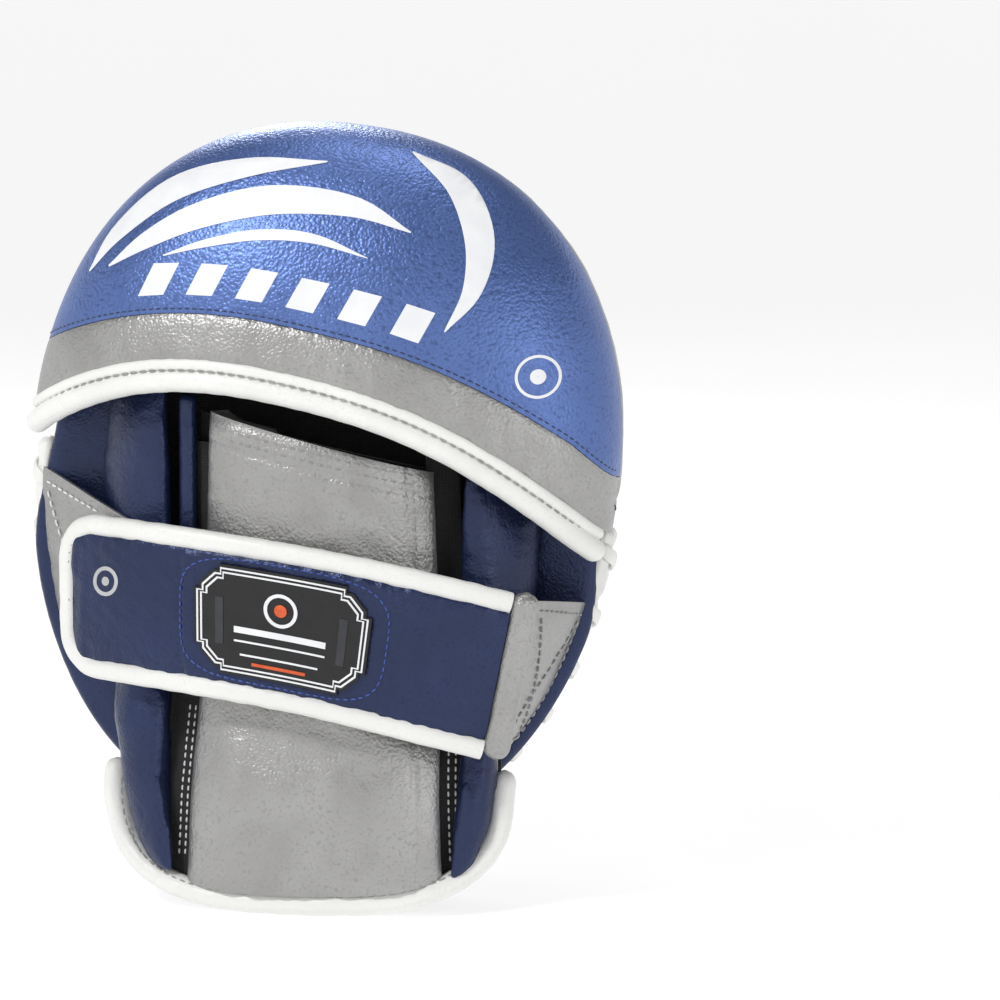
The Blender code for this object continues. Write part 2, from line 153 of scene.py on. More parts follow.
def dome(distance, width):
    """0 at an edge, rising like a stuffed edge to 1 at width from it."""
    t = min(1.0, max(0.0, distance / width))
    return math.sqrt(1.0 - (1.0 - t) ** 2)


def normalised(vectors):
    return vectors / np.maximum(np.linalg.norm(vectors, axis=-1, keepdims=True), 1e-9)


def spline(points, count):
    """A Catmull-Rom curve through rows of numbers, sampled evenly between them."""
    rows = np.asarray(points, float)
    padded = np.vstack((2 * rows[0] - rows[1], rows, 2 * rows[-1] - rows[-2]))
    made = []
    for share in np.linspace(0, len(rows) - 1, count):
        k = min(int(share), len(rows) - 2)
        t = share - k
        a, b, c, d = padded[k : k + 4]
        made.append(
            0.5 * (2 * b + (c - a) * t + (2 * a - 5 * b + 4 * c - d) * t**2 + (3 * b - a - 3 * c + d) * t**3)
        )
    return np.array(made)


def even(path, step):
    """The path with points a step apart, and the position between its old points of each new one."""
    path = np.asarray(path, float)
    run = np.concatenate(([0.0], np.cumsum(np.linalg.norm(np.diff(path, axis=0), axis=1))))
    stations = np.linspace(0.0, run[-1], max(2, int(round(run[-1] / step)) + 1))
    return np.column_stack([np.interp(stations, run, path[:, k]) for k in range(path.shape[1])])


# ---------------------------------------------------------------- mesh builders


def make(name, points, faces, look, body=None, replaces=(), slot=None, orient=True):
    """A closed mesh from design points, with its material, riding on a body and standing for CAD nodes."""
    mesh = bpy.data.meshes.new(name)
    mesh.from_pydata(world(points).tolist(), [], faces)
    if orient:
        form = bmesh.new()
        form.from_mesh(mesh)
        bmesh.ops.recalc_face_normals(form, faces=form.faces)
        form.to_mesh(mesh)
        form.free()
    mesh.shade_smooth()
    mesh.set_sharp_from_angle(angle=math.radians(48))
    mesh.materials.append(LOOKS[look])
    item = bpy.data.objects.new(name, mesh)
    bpy.context.scene.collection.objects.link(item)
    if body:
        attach(item, body)
    if replaces:
        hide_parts(*replaces)
    return item


def surface_normals(grid):
    return normalised(np.cross(np.gradient(grid, axis=1), np.gradient(grid, axis=0)))


def skin_grid(place, across, along, relief):
    us, vs = np.linspace(0, 1, across + 1), np.linspace(0, 1, along + 1)
    grid = np.array([[place(u, v) for u in us] for v in vs], float)
    if relief:
        lift = np.array([[relief(u, v, grid[j, i]) for i, u in enumerate(us)] for j, v in enumerate(vs)])
        grid = grid + surface_normals(grid) * lift[..., None]
    return grid


def skin(name, place, across, along, thickness, look, relief=None, **rest):
    """A skin on place(u, v), raised by relief(u, v, point) and thickened inwards."""
    front = skin_grid(place, across, along, relief)
    back = front - surface_normals(front) * thickness
    rows, cols = front.shape[:2]
    points = np.vstack((front.reshape(-1, 3), back.reshape(-1, 3)))
    shift = rows * cols
    faces = []
    for j in range(rows - 1):
        for i in range(cols - 1):
            a, b, c, d = j * cols + i, j * cols + i + 1, (j + 1) * cols + i + 1, (j + 1) * cols + i
            faces.append((a, b, c, d))
            faces.append((a + shift, d + shift, c + shift, b + shift))
    border = [i for i in range(cols)] + [j * cols + cols - 1 for j in range(1, rows)]
    border += [(rows - 1) * cols + i for i in range(cols - 2, -1, -1)] + [
        j * cols for j in range(rows - 2, 0, -1)
    ]
    for a, b in zip(border, border[1:] + border[:1]):
        faces.append((a, a + shift, b + shift, b))
    return make(name, points, faces, look, **rest)


def ring_mesh(rings, start=0):
    """Points and faces of a closed loft through rings of points, with both ends capped."""
    count, around = len(rings), len(rings[0])
    points = np.array(rings, float).reshape(-1, 3)
    faces = []
    for k in range(count - 1):
        for i in range(around):
            ahead = (i + 1) % around
            low, high = start + k * around, start + (k + 1) * around
            faces.append((low + i, low + ahead, high + ahead, high + i))
    faces.append(tuple(start + i for i in reversed(range(around))))
    faces.append(tuple(start + (count - 1) * around + i for i in range(around)))
    return points, faces


def sweep_rings(path, outward, section):
    """Rings along a path. section(k, run) gives (outward, sideways) pairs, run being the length so far."""
    path, outward = np.asarray(path, float), np.asarray(outward, float)
    tangent = normalised(np.gradient(path, axis=0))
    outward = normalised(outward - tangent * np.sum(outward * tangent, axis=1, keepdims=True))
    side = np.cross(tangent, outward)
    run = np.concatenate(([0.0], np.cumsum(np.linalg.norm(np.diff(path, axis=0), axis=1))))
    rings = []
    for k in range(len(path)):
        pairs = np.asarray(section(run[k], run[-1]), float)
        rings.append(path[k] + pairs[:, :1] * outward[k] + pairs[:, 1:] * side[k])
    return rings


def roll_section(high, wide, pucker=0.0, pitch=3.0, rounded=True, sides=20, seed=0.0, power=1.0):
    """The section of a stuffed roll: high outwards, wide sideways, gathered by pucker, with rounded ends."""

    def section(run, length):
        reach = max(high, wide)
        ends = dome(min(run, length - run) + 0.05, reach) if rounded else 1.0
        made = []
        for i in range(sides):
            angle = 2 * math.pi * i / sides
            grow = 1.0 + pucker * ripple(
                run, 2.5 * math.cos(angle), pitch, seed + (1.0 if angle > math.pi else 0.0)
            )
            out = high * signed_power(math.cos(angle), power)
            across = wide * signed_power(math.sin(angle), power)
            made.append((out * ends * grow, across * ends * grow))
        return made

    return section


def roll(name, path, outward, section, look, **rest):
    points, faces = ring_mesh(sweep_rings(path, outward, section))
    return make(name, points, faces, look, **rest)


def row_of(path, outward, pitch, length, radius, lift=0.0):
    """Rings of one thread stitch after another along a path."""
    packed = even(np.hstack((path, outward)), pitch)
    centres, out = packed[:, :3], normalised(packed[:, 3:])
    tangent = normalised(np.gradient(centres, axis=0))
    side = np.cross(tangent, out)
    bodies = []
    for k in range(len(centres) - 1):
        middle = (centres[k] + centres[k + 1]) / 2 + out[k] * lift
        rings = []
        for share, size in ((-1.0, 0.45), (-0.7, 0.95), (0.0, 1.1), (0.7, 0.95), (1.0, 0.45)):
            sink = -0.5 * radius * share * share
            ring = [
                middle
                + tangent[k] * share * length / 2
                + out[k] * (sink + radius * size * math.cos(math.pi * i / 3))
                + side[k] * radius * size * math.sin(math.pi * i / 3)
                for i in range(6)
            ]
            rings.append(ring)
        bodies.append(rings)
    return bodies


def stitches(name, rows, look, body, pitch=3.2, length=2.3, radius=0.33, lift=0.1, **rest):
    """Thread stitches along several rows of (path, outward)."""
    points, faces, start = [], [], 0
    for path, outward in rows:
        for rings in row_of(np.asarray(path, float), np.asarray(outward, float), pitch, length, radius, lift):
            more, quads = ring_mesh(rings, start)
            points.append(more)
            faces += quads
            start += len(more)
    return make(name, np.vstack(points), faces, look, body=body, **rest)


def plate(name, outlines, surface, low, high, look, body, step=3.0, **rest):
    """Flat shapes from closed outlines of (a, b) points, laid on surface(a, b, height)."""
    form = bmesh.new()
    for outline in outlines:
        form.faces.new([form.verts.new((a, b, 0.0)) for a, b in outline])
    bmesh.ops.remove_doubles(form, verts=form.verts[:], dist=1e-4)
    bmesh.ops.triangulate(form, faces=form.faces[:])
    for axis in (0, 1):
        values = [vertex.co[axis] for vertex in form.verts]
        square = Vector((1 - axis, axis, 0))
        for k in range(math.ceil(min(values) / step), math.floor(max(values) / step) + 1):
            everything = form.verts[:] + form.edges[:] + form.faces[:]
            bmesh.ops.bisect_plane(
                form, geom=everything, plane_co=square * (k * step + 0.01), plane_no=square
            )
    for face in form.faces:
        face.normal_update()
        if face.normal.z < 0:
            face.normal_flip()
    form.verts.index_update()
    flat = [(vertex.co.x, vertex.co.y) for vertex in form.verts]
    shift = len(flat)
    faces = []
    for face in form.faces:
        loop = [vertex.index for vertex in face.verts]
        faces.append(tuple(loop))
        faces.append(tuple(index + shift for index in reversed(loop)))
        for edge_loop in face.loops:
            if edge_loop.edge.is_boundary:
                a, b = edge_loop.vert.index, edge_loop.link_loop_next.vert.index
                faces.append((a + shift, b + shift, b, a))
    form.free()
    points = [surface(a, b, high) for a, b in flat] + [surface(a, b, low) for a, b in flat]
    return make(name, points, faces, look, body=body, orient=False, **rest)


def strip(first, second):
    """The quads between two lines of points."""
    return [[first[k], first[k + 1], second[k + 1], second[k]] for k in range(len(first) - 1)]


def stroke(points, widths, count=28):
    """A brush stroke through points with a half width at each, as quads."""
    rows = spline([(*point, width) for point, width in zip(points, widths)], count)
    tangent = normalised(np.gradient(rows[:, :2], axis=0))
    side = np.column_stack((-tangent[:, 1], tangent[:, 0])) * np.maximum(rows[:, 2:], 0.02)
    return strip([tuple(p) for p in rows[:, :2] + side], [tuple(p) for p in rows[:, :2] - side])


def ring_arc(centre, inner, outer, start, end, count=40):
    """Part of a flat ring as quads, angles in degrees."""
    angles = [math.radians(start + (end - start) * k / count) for k in range(count + 1)]
    rim = [(centre[0] + outer * math.cos(a), centre[1] + outer * math.sin(a)) for a in angles]
    eyelet_shade = [(centre[0] + inner * math.cos(a), centre[1] + inner * math.sin(a)) for a in angles]
    return strip(rim, eyelet_shade)


# ---------------------------------------------------------------- materials


class Shader:
    """A node material that is filled in step by step."""

    def __init__(self, name, metallic, roughness, coat=0.0, sheen=0.0):
        self.material = bpy.data.materials.new(name)
        self.material.use_nodes = True
        self.tree = self.material.node_tree
        self.surface = self.tree.nodes["Principled BSDF"]
        self.surface.inputs["Metallic"].default_value = metallic
        self.surface.inputs["Roughness"].default_value = roughness
        self.surface.inputs["Coat Weight"].default_value = coat
        self.surface.inputs["Coat Roughness"].default_value = 0.35
        self.surface.inputs["Sheen Weight"].default_value = sheen
        self.place = self.node("ShaderNodeTexCoord").outputs["Object"]

    def node(self, kind, links=(), **values):
        made = self.tree.nodes.new(kind)
        for key, value in values.items():
            if key in made.inputs:
                made.inputs[key].default_value = value
            else:
                setattr(made, key, value)
        for key, source in dict(links).items():
            self.tree.links.new(source, made.inputs[key])
        return made

    def lumps(self, size, detail=2.0, distortion=0.0):
        """Noise with lumps of a size in mm."""
        made = self.node("ShaderNodeTexNoise", {"Vector": self.place}, Scale=1000.0 / size)
        made.inputs["Detail"].default_value = detail
        made.inputs["Distortion"].default_value = distortion
        return made.outputs["Fac"]

    def cells(self, size, feature="DISTANCE_TO_EDGE", shift=0.35):
        """Pebbles of a size in mm, on slightly shifted coordinates so that they don't look laid out."""
        wobble = self.node("ShaderNodeTexNoise", {"Vector": self.place}, Scale=1000.0 / (size * 2.2))
        pushed = self.node("ShaderNodeVectorMath", {0: wobble.outputs["Color"]}, operation="SCALE")
        pushed.inputs["Scale"].default_value = size * shift * MM
        moved = self.node("ShaderNodeVectorMath", {0: self.place, 1: pushed.outputs[0]}, operation="ADD")
        made = self.node(
            "ShaderNodeTexVoronoi", {"Vector": moved.outputs[0]}, feature=feature, Scale=1000.0 / size
        )
        return made.outputs["Distance"]

    def ramp(self, source, low, high, start=0.0, end=1.0):
        made = self.node("ShaderNodeMapRange", {0: source})
        for k, value in enumerate((low, high, start, end), 1):
            made.inputs[k].default_value = value
        made.clamp = True
        return made.outputs[0]

    def mix(self, factor, first, second):
        """A colour between two colours or sockets."""
        made = self.tree.nodes.new("ShaderNodeMix")
        made.data_type = "RGBA"
        self.tree.links.new(factor, made.inputs["Factor"])
        for slot_index, colour in ((6, first), (7, second)):
            if isinstance(colour, tuple):
                made.inputs[slot_index].default_value = (*colour, 1.0)
            else:
                self.tree.links.new(colour, made.inputs[slot_index])
        return made.outputs[2]

    def bump(self, height, distance, strength=1.0, under=None):
        made = self.node("ShaderNodeBump", {"Height": height})
        made.inputs["Distance"].default_value = distance * MM
        made.inputs["Strength"].default_value = strength
        if under:
            self.tree.links.new(under, made.inputs["Normal"])
        return made.outputs["Normal"]

    def finish(self, colour, roughness, normal):
        self.tree.links.new(colour, self.surface.inputs["Base Color"])
        if roughness:
            self.tree.links.new(roughness, self.surface.inputs["Roughness"])
        self.tree.links.new(normal, self.surface.inputs["Normal"])
        return self.material


def leather(name, light, dark, metallic, roughness, pebble, depth, crease=0.25, valley=0.8, wear=0.5):
    """Grained leather: pebbles, finer pores, long soft creases, uneven colour and rubbed gloss."""
    shader = Shader(name, metallic, roughness, coat=0.1)
    pebbles = shader.ramp(shader.cells(pebble, "SMOOTH_F1"), 0.75, 0.0)
    pores = shader.lumps(pebble * 0.6, 2.0)
    folds = shader.lumps(9.0, 4.0, 1.6)
    patches = shader.lumps(24.0, 5.0, 0.6)
    base = shader.mix(shader.ramp(patches, 0.5 - 0.3 * wear, 0.5 + 0.3 * wear), dark, light)
    colour = shader.mix(shader.ramp(pebbles, 0.05, 0.35), tuple(valley * channel for channel in dark), base)
    gloss = shader.ramp(pores, 0.25, 0.75, roughness + 0.09, max(0.08, roughness - 0.07))
    normal = shader.bump(folds, crease, 0.8)
    normal = shader.bump(pores, depth * 0.25, 0.5, normal)
    normal = shader.bump(pebbles, depth, 0.8, normal)
    return shader.finish(colour, gloss, normal)


def cloth(name, light, dark, pitch, depth, roughness=0.85, sheen=0.3):
    """Woven cloth: two crossing sets of threads and a little fuzz."""
    shader = Shader(name, 0.0, roughness, sheen=sheen)
    waves = []
    for direction in ("X", "Z"):
        wave = shader.node("ShaderNodeTexWave", {"Vector": shader.place}, bands_direction=direction)
        wave.inputs["Scale"].default_value = 1000.0 / pitch / 20.0 * 6.283
        wave.inputs["Distortion"].default_value = 0.6
        wave.inputs["Detail Scale"].default_value = 2.0
        waves.append(wave.outputs["Fac"])
    weave = shader.node("ShaderNodeMath", {0: waves[0], 1: waves[1]}, operation="MULTIPLY").outputs[0]
    fuzz = shader.lumps(1.1, 4.0)
    colour = shader.mix(shader.ramp(weave, 0.1, 0.8), dark, light)
    normal = shader.bump(fuzz, depth * 0.6, 0.5)
    normal = shader.bump(weave, depth, 0.8, normal)
    return shader.finish(
        colour, shader.ramp(fuzz, 0.2, 0.8, roughness - 0.1, min(1.0, roughness + 0.1)), normal
    )


def moulded(name, light, dark, roughness, grain, depth, metallic=0.0, sheen=0.0):
    """Printed ink, moulded rubber, foam or thread: a fine even grain with slight variation."""
    shader = Shader(name, metallic, roughness, sheen=sheen)
    fine = shader.lumps(grain, 4.0)
    broad = shader.lumps(grain * 11.0, 3.0)
    colour = shader.mix(shader.ramp(broad, 0.35, 0.65), dark, light)
    rough = shader.ramp(fine, 0.2, 0.8, roughness - 0.07, min(1.0, roughness + 0.07))
    return shader.finish(colour, rough, shader.bump(fine, depth, 0.7))


LOOKS = {
    "blue": leather(
        "blue_pebbled_leather", (0.11, 0.184, 0.455), (0.092, 0.156, 0.395), 0.6, 0.38, 0.95, 0.2
    ),
    "blue_soft": leather(
        "blue_soft_leather", (0.0175, 0.031, 0.095), (0.014, 0.0245, 0.077), 0.45, 0.36, 0.85, 0.15, 0.6, 0.9
    ),
    "navy": leather(
        "navy_smooth_leather", (0.018, 0.034, 0.1), (0.015, 0.028, 0.085), 0.1, 0.45, 0.8, 0.05, 0.15
    ),
    "silver": leather(
        "silver_grained_leather", (0.41, 0.406, 0.4), (0.345, 0.341, 0.335), 0.72, 0.41, 0.9, 0.2, 0.4, 0.96
    ),
    "white": leather(
        "white_piping_leather", (0.86, 0.86, 0.83), (0.81, 0.81, 0.78), 0.0, 0.42, 0.9, 0.05, 0.3, 0.99
    ),
    "black": cloth("black_lining_cloth", (0.018, 0.018, 0.021), (0.006, 0.006, 0.007), 0.9, 0.1),
    "hooks": cloth("hook_and_loop_tape", (0.03, 0.03, 0.032), (0.006, 0.006, 0.006), 1.3, 0.5, 0.9, 0.6),
    "label": cloth("satin_label_cloth", (0.78, 0.78, 0.76), (0.66, 0.66, 0.65), 0.35, 0.04, 0.55, 0.1),
    "rubber": moulded("badge_black_rubber", (0.007, 0.007, 0.008), (0.004, 0.004, 0.005), 0.42, 0.35, 0.03),
    "badge_grey": moulded("badge_grey_rubber", (0.035, 0.036, 0.042), (0.026, 0.027, 0.032), 0.5, 0.35, 0.03),
    "orange": moulded("badge_orange_rubber", (0.75, 0.13, 0.03), (0.62, 0.09, 0.02), 0.45, 0.35, 0.03),
    "print_white": moulded("white_print", (0.87, 0.88, 0.89), (0.8, 0.81, 0.83), 0.42, 0.9, 0.03),
    "print_silver": moulded("silver_print", (0.55, 0.56, 0.57), (0.46, 0.47, 0.48), 0.4, 0.9, 0.03, 0.3),
    "print_blue": moulded("blue_print", (0.02, 0.06, 0.3), (0.015, 0.045, 0.24), 0.42, 0.9, 0.03),
    "foam": moulded("grey_foam", (0.17, 0.17, 0.18), (0.12, 0.12, 0.13), 0.9, 0.6, 0.3),
    "thread_blue": moulded("blue_thread", (0.03, 0.08, 0.4), (0.02, 0.055, 0.3), 0.5, 0.25, 0.08, sheen=0.3),
    "thread_dark": moulded(
        "dark_thread", (0.016, 0.03, 0.09), (0.01, 0.02, 0.06), 0.6, 0.25, 0.08, sheen=0.3
    ),
    "thread_grey": moulded("grey_thread", (0.36, 0.36, 0.35), (0.25, 0.25, 0.25), 0.6, 0.25, 0.08, sheen=0.3),
    "thread_white": moulded(
        "white_thread", (0.85, 0.85, 0.83), (0.74, 0.74, 0.72), 0.6, 0.25, 0.08, sheen=0.3
    ),
    # Near-black painted shade for the eyelet holes, not a colour of the leather.
    "eyelet_shade": moulded("eyelet_shadow", (0.02, 0.02, 0.02), (0.01, 0.01, 0.01), 0.9, 0.4, 0.1),
}


# ---------------------------------------------------------------- guide surfaces, as in the frame


def egg(angle, inset=0.0):
    """(x, z) on the pad's outline, inset mm inside it, at an angle that starts on the right and climbs."""
    height = PAD_TOP if math.sin(angle) >= 0 else PAD_BOTTOM
    across = (PAD_HALF_WIDTH - inset) * signed_power(math.cos(angle), 2 / PAD_POWER)
    along = (height - inset) * signed_power(math.sin(angle), 2 / PAD_POWER)
    x = PAD_X + across * math.cos(PAD_LEAN) + along * math.sin(PAD_LEAN)
    z = PAD_Z - across * math.sin(PAD_LEAN) + along * math.cos(PAD_LEAN)
    return x, z


def leaning(x, z):
    """Position across and along the leaning pad."""
    dx, dz = x - PAD_X, z - PAD_Z
    return (
        dx * math.cos(PAD_LEAN) - dz * math.sin(PAD_LEAN), dx * math.sin(PAD_LEAN)
        + dz * math.cos(PAD_LEAN)
    )


def upright(across, along):
    """The opposite of leaning()."""
    x = PAD_X + across * math.cos(PAD_LEAN) + along * math.sin(PAD_LEAN)
    return x, PAD_Z - across * math.sin(PAD_LEAN) + along * math.cos(PAD_LEAN)


def past_egg(x, z, inset):
    """How far a point lies outside the egg with that inset; negative inside."""
    across, along = leaning(x, z)
    height = (PAD_TOP if along >= 0 else PAD_BOTTOM) - inset
    level = abs(across / (PAD_HALF_WIDTH - inset)) ** PAD_POWER + abs(along / height) ** PAD_POWER
    scale = max(1e-6, level ** (1 / PAD_POWER))
    return math.hypot(across, along) * (1 - 1 / scale) if scale > 1e-3 else -height


def mouth_z(x):
    return MOUTH_SIDE_Z + MOUTH_SLOPE * x + MOUTH_ARCH * (1 - abs(x / MOUTH_HALF) ** 2.4)


def line_z(x, above):
    """Height of a line that runs above mm from the mouth's lower edge, measured square to that edge."""
    slope = MOUTH_SLOPE - math.copysign(MOUTH_ARCH * 2.4 / MOUTH_HALF * abs(x / MOUTH_HALF) ** 1.4, x)
    return mouth_z(x) + above * math.hypot(1.0, min(1.0, abs(slope)))


def hood_y(x, z, inset=0.0):
    across, along = leaning(x, z)
    height = (PAD_TOP if along >= 0 else PAD_BOTTOM) - inset
    level = abs(across / (PAD_HALF_WIDTH - inset)) ** PAD_POWER + abs(along / height) ** PAD_POWER
    return HOOD_BASE_Y - (HOOD_DEPTH - inset) * max(0.0, 1.0 - level) ** HOOD_FULLNESS


def rim_angles(above, inset):
    """Angles on the egg where a line that runs above the mouth meets the hood's rim, left then right."""
    found = []
    for middle, side in ((math.pi, -1), (0.0, 1)):
        low, high = -0.6, 0.6
        for _ in range(40):
            trial = (low + high) / 2
            x, z = egg(middle + side * trial, inset)
            low, high = (trial, high) if z < line_z(x, above) else (low, trial)
        found.append(middle + side * low)
    return found


def hood_line(above, inset=0.0):
    """A function of u that runs along such a line from the left rim to the right rim, as (x, z)."""
    left, right = (egg(angle, inset)[0] for angle in rim_angles(above, inset))

    def at(u):
        x = (right + left) / 2 - (right - left) / 2 * math.cos(math.pi * u)
        return x, line_z(x, above)

    return at


def panel_y(x, z):
    free = smoothstep((78.0 - z) / 45.0)
    middle = PANEL_Y - CUFF_FLARE * free
    edge = PANEL_EDGE_Y - CUFF_LIFT * free
    half = PANEL_HALF - 5.0 * free
    return middle + (edge - middle) * min(1.0, abs(x / half)) ** PANEL_POWER


def cuff_edge(angle):
    x = -1.0 + CUFF_HALF * signed_power(math.cos(angle), 2 / CUFF_POWER)
    drop = (CUFF_TOP_Z - CUFF_RADIUS) * abs(math.sin(angle)) ** (2 / CUFF_POWER)
    return x, CUFF_TOP_Z - drop


def cuff_floor(x):
    reach = min(1.0, abs((x + 1.0) / CUFF_HALF))
    drop = (CUFF_TOP_Z - CUFF_RADIUS) * (1 - reach**CUFF_POWER) ** (1 / CUFF_POWER)
    return CUFF_TOP_Z - drop


def strap_z(x):
    return 95.0 - 0.16 * x - 0.001 * x * x


def strap_y(x):
    return STRAP_Y + 30.0 * abs((x - 8.0) / 95.0) ** 2.6


def strap_half(x, half, corner, left):
    into = left + corner - x
    if into <= 0:
        return half
    return half - corner + math.sqrt(max(0.0, corner * corner - into * into))


def strap_point(x, across, depth):
    """A point on the strap, across mm above its middle line and depth mm inside its outer side."""
    lean = 0.2 * across * smoothstep((x + 30.0) / 90.0)
    rise = strap_y(x + 0.5) - strap_y(x - 0.5)
    slope = rise / math.hypot(1.0, rise)
    return x + lean - slope * depth, strap_y(x) + math.sqrt(1 - slope * slope) * depth, strap_z(x) + across


def facing(depth_at, x, z):
    """The outward direction of a back-side surface y = depth_at(x, z)."""
    rise = depth_at(x + 0.5, z) - depth_at(x - 0.5, z)
    climb = depth_at(x, z + 0.5) - depth_at(x, z - 0.5)
    return np.array((rise, -1.0, climb)) / math.sqrt(1 + rise * rise + climb * climb)


def on_surface(depth_at, flat, depth=0.0):
    """Flat (x, z) points laid on a back-side surface, as a path with its outward directions."""
    outward = np.array([facing(depth_at, x, z) for x, z in flat])
    path = np.array([(x, depth_at(x, z), z) for x, z in flat]) - outward * depth
    return path, outward


# ---------------------------------------------------------------- the strike face


def face_depth(x, z):
    """Front of the strike face: a flat middle, a sewn valley round it and a stuffed ring."""
    along = leaning(x, z)[1]
    from_edge = -past_egg(x, z, FACE_INSET)
    from_oval = past_egg(x, z, OVAL_INSET)
    from_channel = abs(along) - CHANNEL_HALF
    corner = 7.0
    inside = min(from_oval, from_channel)
    if from_oval < corner and from_channel < corner:
        inside = corner - math.hypot(corner - from_oval, corner - from_channel)
    turn = math.atan2(along, x - PAD_X) * 70.0
    if inside > 0:
        depth = SEAM_Y + (RING_Y - SEAM_Y) * dome(inside, 8.0) + 0.35 * ripple(x, z, 30.0)
        depth += 0.34 * math.exp(-inside / 3.2) * ripple(turn, inside * 0.5, 1.9, 4.0)
    else:
        depth = SEAM_Y + (FACE_Y - SEAM_Y) * dome(-inside, 5.0)
        depth += 0.1 * math.exp(inside / 2.5) * ripple(turn, inside * 0.5, 2.1, 7.0)
    depth -= 0.85 * math.exp(-(((from_edge - 3.6) / 0.9) ** 2))
    depth += 0.2 * math.exp(-abs(from_edge - 3.6) / 2.0) * ripple(turn, from_edge * 0.4, 2.3, 2.0)
    return depth - 1.5 * (1 - dome(from_edge, 2.4))


def build_face():
    around = 560
    shares = np.concatenate((np.linspace(0.01, 0.6, 16), np.linspace(0.61, 0.999, 84)))
    rings = []
    for share in shares:
        ring = []
        for i in range(around):
            rim = egg(2 * math.pi * i / around, FACE_INSET)
            x, z = PAD_X + (rim[0] - PAD_X) * share, PAD_Z + (rim[1] - PAD_Z) * share
            ring.append((x, face_depth(x, z), z))
        rings.append(ring)
    for inset, y in ((9.9, 21.2), (9.7, 20.2), (9.9, 18.9), (10.6, 17.4)):
        flat = [egg(2 * math.pi * i / around, inset) for i in range(around)]
        rings.append([(x, y, z) for x, z in flat])
    points, faces = ring_mesh(rings)
    panels = ("face_center_panel", "face_crescent_upper", "face_crescent_lower")
    face = make("strike_face", points, faces, "navy", body="mitt", replaces=panels)

    def on_face(flat, raise_by=0.0):
        path = np.array([(x, face_depth(x, z) + raise_by, z) for x, z in flat])
        return path, np.tile((0.0, 1.0, 0.0), (len(path), 1))

    edge = [egg(2 * math.pi * k / 400, FACE_INSET + 3.6) for k in range(401)]
    stitches("face_edge_stitches", [on_face(edge)], "thread_blue", "mitt", pitch=2.7, length=2.0, radius=0.3)
    rows = []
    for start, side in ((0.0, 1), (math.pi, -1)):
        turn = math.asin((CHANNEL_HALF + 6.0) / (PAD_TOP - OVAL_INSET))
        oval = [egg(start + turn + (math.pi - 2 * turn) * k / 160, OVAL_INSET - 0.9) for k in range(161)]
        rows.append(on_face(oval, 0.1))
        for half in (-1, 1):
            line = [upright(half * (64.0 + 16.0 * k / 30), side * (CHANNEL_HALF + 0.9)) for k in range(31)]
            rows.append(on_face(line, 0.1))
    stitches("face_seam_stitches", rows, "thread_blue", "mitt", pitch=2.4, length=1.7, radius=0.26)
    build_target()


def build_target():
    """The printed target: a split ring between two thin rings, and a spike along the channel."""

    def front(a, b, height):
        x, z = upright(-a, b)
        return x, max(face_depth(x, z), FACE_Y - 0.4) + height, z

    middle = (0.0, 0.0)
    gap = math.degrees(math.asin(3.8 / 24.7))
    bright = [ring_arc(middle, 20.8, 28.7, start + gap, start + 180 - gap) for start in (0.0, 180.0)]
    plate("target_split_ring", sum(bright, []), front, -0.2, 0.12, "print_white", "mitt")
    thin = ring_arc(middle, 15.5, 18.4, 0, 360, 80) + ring_arc(middle, 31.8, 35.4, 0, 360, 120)
    plate("target_thin_rings", thin, front, -0.2, 0.12, "print_silver", "mitt")
    spike = stroke([(35.0, 0.4), (48.0, 0.0), (60.0, -1.2), (71.0, -3.2)], [2.9, 2.1, 1.2, 0.05])
    plate("target_spike", spike, front, -0.2, 0.13, "print_silver", "mitt")
    bars = []
    for k in range(4):
        start = -15.0 + 8.0 * k
        bars.append([(start, -107.0), (start + 5.6, -107.0), (start + 8.0, -100.5), (start + 2.4, -100.5)])
    for k in range(2):
        low = 81.0 + 4.2 * k
        bars.append([(-9, low), (0, low + 5), (9, low), (9, low + 2.2), (0, low + 7.2), (-9, low + 2.2)])
    plate("face_end_marks", bars, front, -0.3, 0.14, "print_silver", "mitt")


# ---------------------------------------------------------------- the pad's side and back


